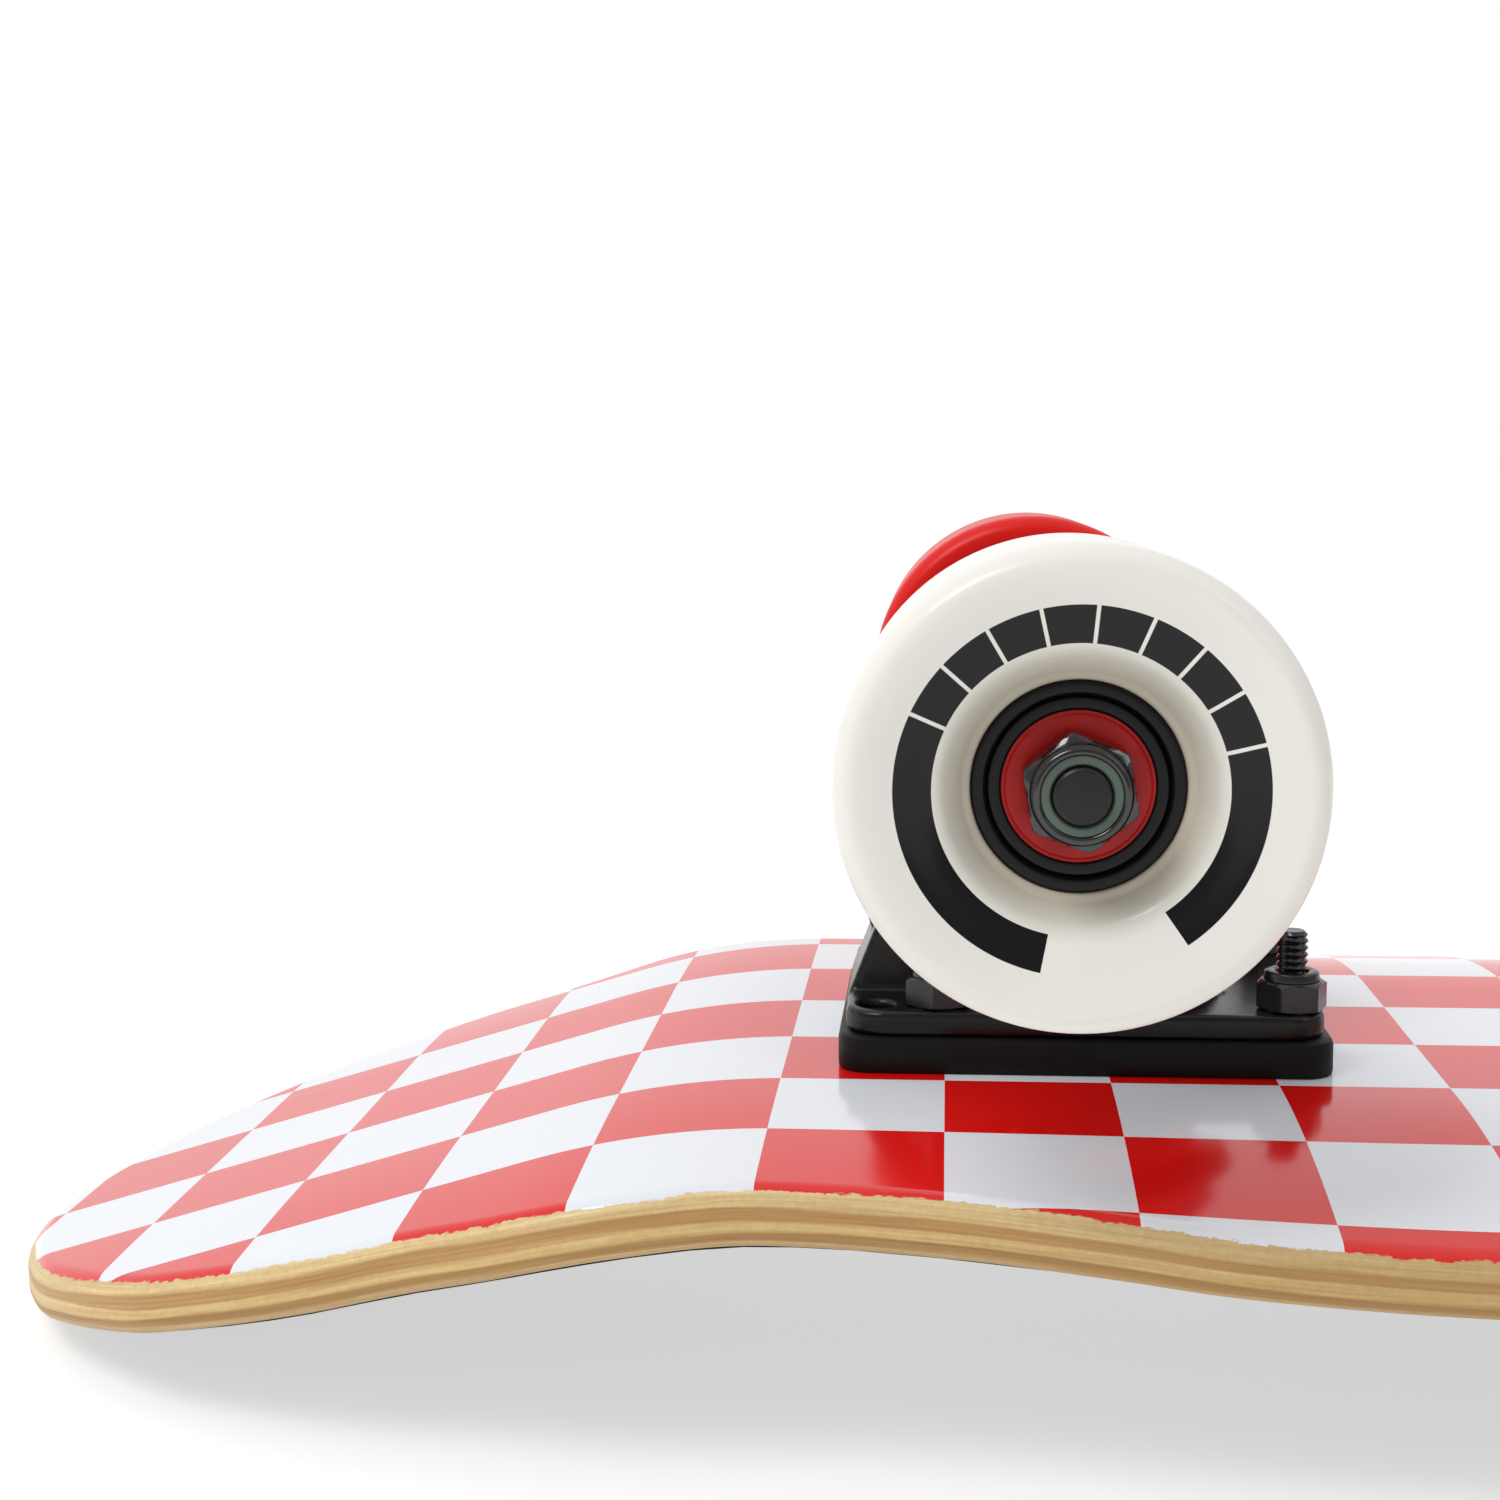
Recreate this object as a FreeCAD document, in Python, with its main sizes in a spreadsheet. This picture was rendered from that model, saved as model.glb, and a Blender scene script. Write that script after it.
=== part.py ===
import FreeCAD, Part

import math
import os

import Sketcher
from FreeCAD import Placement, Rotation, Vector

# A cruiser skateboard lying upside down: +Z up towards the wheels, +X from the tail to the nose.
# The origin is on the surface that the two kicked ends lie on, midway between them. Millimetres.
# "Left" and "right" are a rider's, facing the nose on the upright board, so left is -Y here.
# A truck is built in its own frame: axle over x = 0, z = 0 on the deck's underside, -X to the board's
# end. Angles and curvatures are plain numbers in degrees and per millimetre.

DIMENSIONS = [
    ("axle_spacing", 432, "between the two axles, along the board"),
    ("deck_half_length", 387, "middle of the board to either tip"),
    ("deck_thick", 8.7, "seven thin maple plies"),
    ("grip_inset", 4, "how far the grip tape stops short of the deck's edge"),
    ("grip_thick", 0.8, "grip tape"),
    ("kick_start", 39, "from the axle out to the start of the kick's bend"),
    ("kick_bend", 126, "radius of the kick's bend"),
    ("kick_angle", 16.9, "slope of the kicked end"),
    ("flat_half", 35, "half width of the flat strip along the middle of the deck"),
    ("concave_kick", 0.0007, "curvature of the side bands over the kicks"),
    ("concave_mid", 0.0022, "curvature of the side bands between the trucks"),
    ("concave_start", 40, "from the axle out to where the deeper concave begins"),
    ("concave_blend", 100, "length over which the concave deepens"),
    ("axle_height", 54.05, "axle centre above the deck's underside"),
    ("axle_length", 203.2, "eight inch axle"),
    ("axle_dia", 7.94, "5/16 inch axle"),
    ("axle_chamfer", 0.8, "bevel on the axle's ends"),
    ("hanger_half", 67.8, "half width of the hanger"),
    ("hanger_mid_dia", 19, "hanger tube at the middle"),
    ("hanger_end_dia", 15.5, "hanger tube at its ends"),
    ("riser_length", 75.7, "riser pad along the board"),
    ("riser_width", 55.1, "riser pad across the board"),
    ("riser_thick", 5.6, "riser pad"),
    ("riser_corner", 5, "corner radius of the riser pad"),
    ("plate_length", 73.5, "baseplate flange along the board"),
    ("plate_width", 53.2, "baseplate flange across the board"),
    ("plate_thick", 3.89, "baseplate flange"),
    ("plate_corner", 6, "corner radius of the baseplate"),
    ("plate_shift", 5.33, "middle of the bolt pattern, inboard of the axle"),
    ("outer_hole_reach", 31.75, "outer and inner bolt holes from the pattern's middle"),
    ("third_hole_reach", 22.2, "the outboard bolts, 54 mm from the inboard ones: the newer pattern"),
    ("hole_half_pitch", 20.64, "bolt holes from the centre line"),
    ("bolt_dia", 4.8, "number 10 mounting bolt"),
    ("bolt_hole_dia", 5.5, "clearance hole for it"),
    ("bolt_length", 30.4, "mounting bolt, head included"),
    ("bolt_head_dia", 9.6, "countersunk head"),
    ("bolt_head_rise", 2.8, "countersunk head's height"),
    ("grip_hole_gap", 0.2, "gap round a bolt's head in the grip tape"),
    ("bolt_nut_flats", 9.53, "mounting nut across its flats"),
    ("bolt_nut_high", 6.1, "mounting nut"),
    ("housing_half", 13, "half width of the pivot housing and kingpin boss"),
    ("pivot_x", -20, "pivot ball centre"),
    ("pivot_z", 17, "pivot ball centre"),
    ("pivot_ball_dia", 10, "ball on the hanger's pivot"),
    ("pivot_gap", 0.3, "clearance of the ball in its cup"),
    ("cup_dia", 15, "pivot cup"),
    ("cup_depth", 8, "pivot cup along its axis"),
    ("cup_mouth", 1.5, "cup's mouth beyond the ball's centre"),
    ("pivot_stem_dia", 8, "hanger's pivot stem at the ball"),
    ("pivot_root_dia", 13, "hanger's pivot stem at the hanger"),
    ("pivot_stem_end", 15, "end of the stem from the ball's centre"),
    ("ring_x", 18, "centre of the hanger's ring, on the kingpin"),
    ("ring_z", 35, "centre of the hanger's ring, on the kingpin"),
    ("ring_dia", 30, "hanger's ring"),
    ("ring_thick", 7, "hanger's ring"),
    ("ring_hole_dia", 13.2, "hole in the ring"),
    ("kingpin_lean", 18, "kingpin's lean towards the middle of the board"),
    ("kingpin_dia", 9.52, "3/8 inch kingpin"),
    ("kingpin_head_dia", 14.2, "kingpin's head"),
    ("kingpin_head_high", 5, "kingpin's head"),
    ("head_clearance", 0.5, "gap round the kingpin's head in its recess"),
    ("kingpin_boss_thick", 6, "metal between the kingpin's head and the washer"),
    ("kingpin_proud", 1.2, "kingpin above its nut"),
    ("kingpin_nut_flats", 14.29, "9/16 inch nut"),
    ("kingpin_nut_high", 7.5, "kingpin nut"),
    ("bushing_dia", 23, "bushings"),
    ("bushing_small_dia", 18, "outer end of the road side bushing"),
    ("bushing_bore_dia", 10.2, "bushing's bore"),
    ("deck_bushing_high", 12, "bushing between the baseplate and the ring"),
    ("road_bushing_high", 10, "bushing between the ring and the nut"),
    ("big_washer_dia", 25, "washer under the deck side bushing"),
    ("small_washer_dia", 21, "washer over the road side bushing"),
    ("big_washer_thick", 1.5, "washer under the deck side bushing"),
    ("small_washer_thick", 1.2, "washer over the road side bushing"),
    ("wheel_dia", 59, "wheel"),
    ("wheel_middle", 78, "middle of the wheel's tread from the truck's centre line"),
    ("tread_half", 19.6, "middle of the tread to the start of its rounded edge"),
    ("lip_half", 21.4, "middle of the tread to the outermost part of the lip"),
    ("lip_radius", 27.6, "radius where the lip stands furthest out"),
    ("core_dia", 25.9, "plastic core"),
    ("core_outer", 15.3, "core's outer end from the middle of the tread"),
    ("core_inner", 9.6, "core's inner end from the middle of the tread"),
    ("core_flange_dia", 34, "ribbed band of the core inside the urethane"),
    ("core_flange_half", 4, "half width of that band"),
    ("bearing_dia", 22, "608 bearing"),
    ("bearing_wide", 7, "608 bearing"),
    ("bearing_race_dia", 19.2, "inside of the outer ring"),
    ("bearing_inner_dia", 12, "outside of the inner ring"),
    ("ball_dia", 3.5, "bearing ball"),
    ("ball_ring_dia", 15.6, "circle of the balls' centres"),
    ("shield_dia", 19.2, "bearing shield, outside"),
    ("shield_hole_dia", 12.6, "bearing shield, inside"),
    ("shield_thick", 0.4, "bearing shield"),
    ("bearing_gap", 10, "spacer between the two bearings of a wheel"),
    ("spacer_dia", 10.2, "spacer between the bearings"),
    ("core_web_dia", 18.6, "core's bore between the bearings"),
    ("speed_washer_dia", 11.6, "speed washer"),
    ("speed_washer_thick", 1, "speed washer"),
    ("axle_nut_flats", 12.7, "half inch axle nut"),
    ("axle_nut_high", 6.4, "axle nut's hexagon"),
    ("axle_nut_collar", 1.1, "crimped collar over the nylon ring"),
    ("nylon_dia", 10, "nylon ring in the axle nut"),
    ("nylon_sunk", 1.5, "depth of the nylon ring's seat in the nut"),
]

BALLS_IN_BEARING = 7
FULL_TURN = 360
HEXAGON = 6

doc = FreeCAD.newDocument("cruiser_skateboard")
dims = doc.addObject("Spreadsheet::Sheet", "dims")
for line, (alias, value, note) in enumerate(DIMENSIONS, start=1):
    dims.set("A%d" % line, alias)
    dims.set("B%d" % line, str(value))
    dims.set("C%d" % line, note)
    dims.setAlias("B%d" % line, alias)
doc.recompute()


def size(alias):
    return float(dims.get(alias))


def bind(thing, **formulas):
    for name, formula in formulas.items():
        thing.setExpression(name, formula)
    return thing


def name_it(thing, label):
    thing.Label = label
    return thing


# ---------------------------------------------------------------- building blocks


def cylinder(name, radius, height, place=Placement()):
    thing = bind(doc.addObject("Part::Cylinder", name), Radius=radius, Height=height)
    thing.Placement = place
    return thing


def cone(name, radius_low, radius_high, height, place=Placement()):
    thing = doc.addObject("Part::Cone", name)
    bind(thing, Radius1=radius_low, Radius2=radius_high, Height=height)
    thing.Placement = place
    return thing


def sphere(name, radius, place=Placement()):
    thing = bind(doc.addObject("Part::Sphere", name), Radius=radius)
    thing.Placement = place
    return thing


def rounded_plate(name, length, width, thick, corner, place):
    """A flat plate centred on its frame in X and Y, with rounded upright corners."""
    box = bind(doc.addObject("Part::Box", name + "_box"), Length=length, Width=width, Height=thick)
    box.setExpression("Placement.Base.x", "-(%s) / 2" % length)
    box.setExpression("Placement.Base.y", "-(%s) / 2" % width)
    doc.recompute()
    rounded = doc.addObject("Part::Fillet", name)
    rounded.Base = box
    upright = [
        number
        for number, edge in enumerate(box.Shape.Edges, start=1)
        if abs(edge.Vertexes[0].Z - edge.Vertexes[-1].Z) > 1e-6
    ]
    rounded.Edges = [(number, size(corner), size(corner)) for number in upright]
    rounded.Placement = place
    return rounded


def joined(name, pieces, place=Placement()):
    fuse = doc.addObject("Part::MultiFuse", name)
    fuse.Shapes = pieces
    fuse.Placement = place
    return fuse


def drilled(name, base, tools, place=Placement()):
    cut = doc.addObject("Part::Cut", name)
    cut.Base = base
    cut.Tool = tools[0] if len(tools) == 1 else joined(name + "_tools", tools)
    cut.Placement = place
    return cut


def together(name, pieces, place=Placement()):
    """Separate solids kept as one node, such as four like bolts."""
    group = doc.addObject("Part::Compound", name)
    group.Links = pieces
    group.Placement = place
    return group


def polygon_sketch(body, plane, corners):
    """A closed polygon whose corners are pinned to formulas on the sheet."""
    sketch = body.newObject("Sketcher::SketchObject", body.Name + "_profile")
    origin_plane = [item for item in body.Origin.OriginFeatures if item.Role == plane][0]
    sketch.AttachmentSupport = [(origin_plane, "")]
    sketch.MapMode = "FlatFace"
    count = len(corners)
    start = [
        Vector(math.cos(math.tau * step / count), math.sin(math.tau * step / count), 0)
        for step in range(count)
    ]
    for step in range(count):
        sketch.addGeometry(Part.LineSegment(start[step], start[(step + 1) % count]))
    for step in range(count):
        sketch.addConstraint(Sketcher.Constraint("Coincident", step, 2, (step + 1) % count, 1))
    for step, corner in enumerate(corners):
        for kind, formula in zip(("DistanceX", "DistanceY"), corner):
            number = sketch.addConstraint(Sketcher.Constraint(kind, -1, 1, step, 1, 1.0))
            sketch.setExpression("Constraints[%d]" % number, formula)
    return sketch


def turned(name, profile, place=Placement()):
    """A piece turned about its own Z axis: each profile corner is (radius, height)."""
    body = doc.addObject("PartDesign::Body", name)
    spin = body.newObject("PartDesign::Revolution", name + "_spin")
    spin.Profile = polygon_sketch(body, "XZ_Plane", profile)
    spin.ReferenceAxis = (spin.Profile[0], ["V_Axis"])
    spin.Angle = FULL_TURN
    body.Tip = spin
    body.Placement = place
    return body


def ring_profile(outer, bore, low, high):
    """Corners of a plain ring for turned(), from two diameters and two heights."""
    outer, bore = "(%s) / 2" % outer, "(%s) / 2" % bore
    return [(bore, low), (outer, low), (outer, high), (bore, high)]


def slab(name, corners, width, place=Placement()):
    """A plate cut to a polygon in the XZ plane, thick in Y about its middle."""
    body = doc.addObject("PartDesign::Body", name)
    pad = body.newObject("PartDesign::Pad", name + "_pad")
    pad.Profile = polygon_sketch(body, "XZ_Plane", corners)
    pad.Midplane = True
    pad.setExpression("Length", width)
    body.Tip = pad
    body.Placement = place
    return body


def hex_nut(name, flats, height, bore, place=Placement(), bevel="0.7"):
    """A hexagon nut on z = 0 with bevelled corners and a plain bore."""
    prism = doc.addObject("Part::Prism", name + "_hexagon")
    prism.Polygon = HEXAGON
    bind(prism, Circumradius="(%s) / (2 * cos(30))" % flats, Height=height)
    tip = "(%s) / (2 * cos(30))" % flats
    hole = "(%s) / 2" % bore
    flat = "%s - %s" % (tip, bevel)
    blank = turned(
        name + "_blank",
        [
            (hole, "0"),
            (flat, "0"),
            (tip, "(%s) / 3" % bevel),
            (tip, "%s - (%s) / 2" % (height, bevel)),
            (flat, height),
            (hole, height),
        ],
    )
    nut = doc.addObject("Part::Common", name)
    nut.Base = prism
    nut.Tool = blank
    nut.Placement = place
    return nut


# ---------------------------------------------------------------- the deck


def kick_drop(x):
    """How far the deck's middle line has dropped at x, measured down from its flat part."""
    reach = abs(x) - size("axle_spacing") / 2 - size("kick_start")
    if reach <= 0:
        return 0.0
    angle = math.radians(size("kick_angle"))
    bend = size("kick_bend")
    bend_reach = bend * math.sin(angle)
    if reach < bend_reach:
        return bend - math.sqrt(bend * bend - reach * reach)
    return bend * (1 - math.cos(angle)) + (reach - bend_reach) * math.tan(angle)


def concave_drop(x, y):
    """How far a point beside the flat strip has dropped below it."""
    beyond = abs(y) - size("flat_half")
    if beyond <= 0:
        return 0.0
    inboard = size("axle_spacing") / 2 + size("concave_start") - abs(x)
    share = min(max(inboard / size("concave_blend"), 0.0), 1.0)
    share = share * share * (3 - 2 * share)
    curve = size("concave_kick") + (size("concave_mid") - size("concave_kick")) * share
    return curve * beyond * beyond


# The grip tape's outer corner at the tips is the lowest point, so it sets the height of the whole board.
GRIP_TIP_X = size("deck_half_length") - size("grip_inset")
PRINT_Z = kick_drop(GRIP_TIP_X) + size("deck_thick") + size("grip_thick")
GRIP_Z = PRINT_Z - size("deck_thick")

# Half widths of the board, as (distance in from the tip, half width): a rounded end, a slight waist
# beside the wheels and a full body between the trucks.
OUTLINE = [
    (0, 0),
    (2.6, 15),
    (8.6, 29.2),
    (17.6, 43.2),
    (36, 59.8),
    (49, 66.4),
    (66, 72.2),
    (81, 75.2),
    (97, 79.6),
    (112, 80.6),
    (131, 79.2),
    (156, 81),
    (176, 83.9),
    (193, 86.4),
    (224, 87.6),
    (264, 88.2),
]


def sheet_surface(height, margin=4.0):
    """The deck's curved surface at a height for its flat part, a little larger than the outline."""
    half_length = size("deck_half_length") + margin
    half_width = max(width for _, width in OUTLINE) + margin
    bend_at = size("axle_spacing") / 2 + size("kick_start")
    bend_to = bend_at + size("kick_bend") * math.sin(math.radians(size("kick_angle")))
    spans = [(0, bend_at - 8, 16), (bend_at - 8, bend_to + 8, 10), (bend_to + 8, half_length, 6)]
    along = []
    for low, high, steps in spans:
        along += [low + (high - low) * step / steps for step in range(steps)]
    along.append(half_length)
    along = [-x for x in reversed(along[1:])] + along
    across_steps = 12
    flat = size("flat_half")
    across = [flat * step / 4 for step in range(4)]
    across += [flat + (half_width - flat) * step / across_steps for step in range(across_steps + 1)]
    across = [-y for y in reversed(across[1:])] + across
    grid = [[Vector(x, y, height - kick_drop(x) - concave_drop(x, y)) for y in across] for x in along]
    surface = Part.BSplineSurface()
    surface.interpolate(grid)
    return surface.toShape()


def inset_outline(inset):
    """OUTLINE moved inwards, square to itself, as points from the tip to the straight side."""
    tip = size("deck_half_length")
    points = [Vector(tip - inward, half, 0) for inward, half in OUTLINE]
    before = [Vector(points[1].x, -points[1].y, 0)] + points[:-1]
    after = points[1:] + [points[-1] - Vector(1, 0, 0)]
    before[-1] = points[-1] + Vector(1, 0, 0)
    moved = []
    for point, earlier, later in zip(points, before, after):
        along = (later - earlier).normalize()
        moved.append(point + Vector(-along.y, along.x, 0) * inset)
    return moved


def outline_wire(inset):
    """The deck's plan outline at z = 0: four like end quarters and a straight run along each side."""
    quarter = inset_outline(inset)
    edges = []
    for along, across in ((1, 1), (-1, 1), (-1, -1), (1, -1)):
        curve = Part.BSplineCurve()
        curve.interpolate(
            [Vector(along * point.x, across * point.y, 0) for point in quarter],
            InitialTangent=Vector(0, across, 0),
            FinalTangent=Vector(-along, 0, 0),
        )
        edges.append(curve.toShape())
    side = quarter[-1]
    for across in (1, -1):
        start = Vector(-side.x, across * side.y, 0)
        edges.append(Part.LineSegment(start, Vector(side.x, across * side.y, 0)).toShape())
    return Part.Wire(Part.sortEdges(edges)[0])


def shape_feature(name, shape):
    feature = doc.addObject("Part::Feature", name)
    feature.Shape = shape
    return feature


def curved_layer(name, height, thickness, inset):
    """A layer of the board: the curved surface thickened downwards and cut to the outline."""
    blank_face = shape_feature(name + "_face", sheet_surface(height))
    blank = doc.addObject("Part::Extrusion", name + "_blank")
    blank.Base = blank_face
    blank.DirMode = "Custom"
    blank.Dir = Vector(0, 0, -1)
    blank.setExpression("LengthFwd", thickness)
    wire = outline_wire(inset)
    cookie = doc.addObject("Part::Extrusion", name + "_outline")
    cookie.Base = shape_feature(name + "_outline_wire", wire)
    cookie.DirMode = "Custom"
    cookie.Dir = Vector(0, 0, 1)
    cookie.Solid = True
    cookie.setExpression("LengthFwd", "dims.deck_half_length")
    cookie.Placement.Base = Vector(0, 0, -size("deck_half_length") / 2)
    layer = doc.addObject("Part::Common", name + "_layer")
    layer.Base = blank
    layer.Tool = cookie
    return layer


def truck_place(end):
    """Where a truck's own frame sits in the board: tail as built, nose turned half round."""
    if end == "tail":
        return Placement(Vector(-size("axle_spacing") / 2, 0, PRINT_Z), Rotation())
    return Placement(Vector(size("axle_spacing") / 2, 0, PRINT_Z), Rotation(Vector(0, 0, 1), 180))


def hole_spots(reaches):
    """Bolt positions in a truck's frame, two for each distance from the pattern's middle."""
    return [
        Vector(size("plate_shift") + reach, side * size("hole_half_pitch"), 0)
        for reach in reaches
        for side in (-1, 1)
    ]


BOLTED = (-size("third_hole_reach"), size("outer_hole_reach"))
ALL_HOLES = (-size("outer_hole_reach"),) + BOLTED


def bolt_holes(name, ends, low, height, diameter, reaches):
    tools = []
    for end in ends:
        for number, spot in enumerate(hole_spots(reaches)):
            place = truck_place(end).multiply(Placement(spot + Vector(0, 0, low), Rotation()))
            tools.append(cylinder("%s_%s_%d" % (name, end, number), diameter, height, place))
    return tools


def countersinks(name):
    """Cones under the bolt heads, on the deck's riding side."""
    tools = []
    for end in ("tail", "nose"):
        for number, spot in enumerate(hole_spots(BOLTED)):
            low = Vector(0, 0, -size("deck_thick"))
            place = truck_place(end).multiply(Placement(spot + low, Rotation()))
            tools.append(
                cone(
                    "%s_%s_%d" % (name, end, number),
                    "dims.bolt_head_dia / 2",
                    "dims.bolt_dia / 2",
                    "dims.bolt_head_rise",
                    place,
                )
            )
    return tools


def build_deck():
    layer = curved_layer("deck", PRINT_Z, "dims.deck_thick", 0)
    low = -size("deck_thick") * 2
    through = bolt_holes(
        "deck_hole", ("tail", "nose"), low, "dims.deck_thick * 4", "dims.bolt_hole_dia / 2", BOLTED
    )
    deck = drilled("deck", layer, through + countersinks("deck_sink"))
    deck.Refine = False
    return name_it(deck, "deck")


def build_grip_tape():
    layer = curved_layer("grip", GRIP_Z, "dims.grip_thick", size("grip_inset"))
    low = -size("deck_thick") * 2
    through = bolt_holes(
        "grip_hole", ("tail", "nose"), low, "dims.deck_thick * 4", "dims.bolt_head_dia / 2 + dims.grip_hole_gap", BOLTED
    )
    # The strip that the feet stand on is trued to a plane, a hair below the interpolated surface.
    trim = bind(
        doc.addObject("Part::Box", "grip_foot_flat"),
        Length="dims.axle_spacing",
        Width="dims.flat_half * 2 - 4",
        Height="dims.grip_thick",
    )
    skim = 0.03
    flat = GRIP_Z - size("grip_thick") + skim
    trim.Placement.Base = Vector(
        -size("axle_spacing") / 2, 2 - size("flat_half"), flat - size("grip_thick")
    )
    grip = drilled("grip_tape", layer, through + [trim])
    grip.Refine = False
    return name_it(grip, "grip_tape")


# ---------------------------------------------------------------- directions in a truck

UP = Vector(0, 0, 1)
PIVOT = Vector(size("pivot_x"), 0, size("pivot_z"))
RING = Vector(size("ring_x"), 0, size("ring_z"))
STEER_TILT = math.degrees(math.atan2(RING.z - PIVOT.z, RING.x - PIVOT.x))


def on_kingpin(height):
    """A frame on the kingpin's axis, its Z along the kingpin away from the deck."""
    turn = Rotation(Vector(0, 1, 0), size("kingpin_lean"))
    return Placement(RING + turn.multVec(UP) * height, turn)


def on_steer_axis(height):
    """A frame on the steering axis, its Z from the pivot towards the hanger's ring."""
    turn = Rotation(Vector(0, 1, 0), 90 - STEER_TILT)
    return Placement(PIVOT + turn.multVec(UP) * height, turn)


def on_axle(side, distance):
    """A frame on the axle at a distance from the truck's centre line, its Z pointing outwards."""
    turn = Rotation(Vector(1, 0, 0), -90 * side)
    return Placement(Vector(0, side * distance, size("axle_height")), turn)


SEAT_DROP = size("ring_thick") / 2 + size("deck_bushing_high") + size("big_washer_thick")
TOP_RISE = size("ring_thick") / 2 + size("road_bushing_high") + size("small_washer_thick")


def placed(end, local):
    return truck_place(end).multiply(local)


# ---------------------------------------------------------------- riser, baseplate, fasteners


def local_holes(name, low, height):
    return [
        cylinder("%s_%d" % (name, number), "dims.bolt_hole_dia / 2", height, Placement(spot + low, Rotation()))
        for number, spot in enumerate(hole_spots(ALL_HOLES))
    ]


def build_riser(end):
    name = end + "_riser_pad"
    middle = Placement(Vector(size("plate_shift"), 0, 0), Rotation())
    pad = rounded_plate(
        name + "_pad", "dims.riser_length", "dims.riser_width", "dims.riser_thick", "riser_corner", middle
    )
    holes = local_holes(name + "_hole", Vector(0, 0, -1), "dims.riser_thick + 2")
    return name_it(drilled(name, pad, holes, truck_place(end)), name)


def build_baseplate(end):
    name = end + "_baseplate"
    floor = Placement(Vector(size("plate_shift"), 0, size("riser_thick")), Rotation())
    flange = rounded_plate(
        name + "_flange", "dims.plate_length", "dims.plate_width", "dims.plate_thick", "plate_corner", floor
    )
    inside = "dims.riser_thick + dims.plate_thick / 2"
    housing = slab(
        name + "_housing",
        [
            ("dims.pivot_x - 12", inside),
            ("dims.pivot_x - 8.3", "dims.pivot_z"),
            ("dims.pivot_x - 5.5", "dims.pivot_z + 7"),
            ("dims.pivot_x - 2.5", "dims.pivot_z + 8.8"),
            ("dims.pivot_x + 5.4", inside),
        ],
        "dims.housing_half * 2",
    )
    boss = slab(
        name + "_boss",
        [
            ("dims.ring_x - 17.4", inside),
            ("dims.ring_x - 17.1", "dims.ring_z - 12.3"),
            ("dims.ring_x + 6.6", "dims.ring_z - 20"),
            ("dims.ring_x + 10.5", inside),
        ],
        "dims.housing_half * 2",
    )
    solid = joined(name + "_casting", [flange, housing, boss])
    seat_cut = cylinder(name + "_seat", "dims.ring_dia", "dims.ring_dia", on_kingpin(-SEAT_DROP))
    bore = cylinder(name + "_kingpin_bore", "dims.kingpin_dia / 2", "dims.ring_z * 2", on_kingpin(-size("ring_z")))
    head_depth = SEAT_DROP + size("kingpin_boss_thick")
    recess_low = on_kingpin(-head_depth - size("ring_dia"))
    recess = cylinder(name + "_head_recess", "dims.kingpin_head_dia / 2 + dims.head_clearance", "dims.ring_dia", recess_low)
    cup_low = on_steer_axis(size("cup_mouth") - size("cup_depth"))
    cup = cylinder(name + "_cup_bore", "dims.cup_dia / 2", "dims.cup_depth * 1.6", cup_low)
    holes = local_holes(name + "_hole", Vector(0, 0, size("riser_thick") - 1), "dims.plate_thick + 2")
    return name_it(drilled(name, solid, [seat_cut, bore, recess, cup] + holes, truck_place(end)), name)


def build_pivot_cup(end):
    name = end + "_pivot_cup"
    low = on_steer_axis(size("cup_mouth") - size("cup_depth"))
    blank = cylinder(name + "_blank", "dims.cup_dia / 2", "dims.cup_depth", low)
    socket = sphere(name + "_socket", "dims.pivot_ball_dia / 2 + dims.pivot_gap", on_steer_axis(0))
    mouth = cylinder(
        name + "_mouth", "dims.pivot_ball_dia / 2 + dims.pivot_gap", "dims.cup_mouth * 2", on_steer_axis(0)
    )
    return name_it(drilled(name, blank, [socket, mouth], truck_place(end)), name)


def build_mounting_bolts(end):
    name = end + "_mounting_bolts"
    bolts = []
    for number, spot in enumerate(hole_spots(BOLTED)):
        shank = "dims.bolt_dia / 2"
        bolts.append(
            turned(
                "%s_%d" % (name, number),
                [
                    ("0", "0"),
                    ("dims.bolt_head_dia / 2", "0"),
                    (shank, "dims.bolt_head_rise"),
                    (shank, "dims.bolt_length - 0.6"),
                    (shank + " - 0.6", "dims.bolt_length"),
                    ("0", "dims.bolt_length"),
                ],
                Placement(spot - Vector(0, 0, size("deck_thick")), Rotation()),
            )
        )
    return name_it(together(name, bolts, truck_place(end)), name)


def build_mounting_nuts(end):
    name = end + "_mounting_nuts"
    plate_top = size("riser_thick") + size("plate_thick")
    nuts = [
        hex_nut(
            "%s_%d" % (name, number),
            "dims.bolt_nut_flats",
            "dims.bolt_nut_high",
            "dims.bolt_dia",
            Placement(spot + Vector(0, 0, plate_top), Rotation()),
        )
        for number, spot in enumerate(hole_spots(BOLTED))
    ]
    return name_it(together(name, nuts, truck_place(end)), name)


# ---------------------------------------------------------------- kingpin and bushings


def build_kingpin(end):
    name = end + "_kingpin"
    head_top = SEAT_DROP + size("kingpin_boss_thick")
    total = head_top + TOP_RISE + size("kingpin_nut_high") + size("kingpin_proud")
    shank = "dims.kingpin_dia / 2"
    head = "dims.kingpin_head_dia / 2"
    full = "dims.kingpin_head_high + %g" % total
    place = on_kingpin(-head_top - size("kingpin_head_high"))
    profile = [
        ("0", "0"),
        (head, "0"),
        (head, "dims.kingpin_head_high"),
        (shank, "dims.kingpin_head_high"),
        (shank, full + " - 0.8"),
        (shank + " - 0.8", full),
        ("0", full),
    ]
    return name_it(turned(name, profile, placed(end, place)), name)


def build_kingpin_nut(end):
    name = end + "_kingpin_nut"
    place = placed(end, on_kingpin(TOP_RISE))
    nut = hex_nut(name, "dims.kingpin_nut_flats", "dims.kingpin_nut_high", "dims.kingpin_dia", place)
    return name_it(nut, name)


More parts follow.
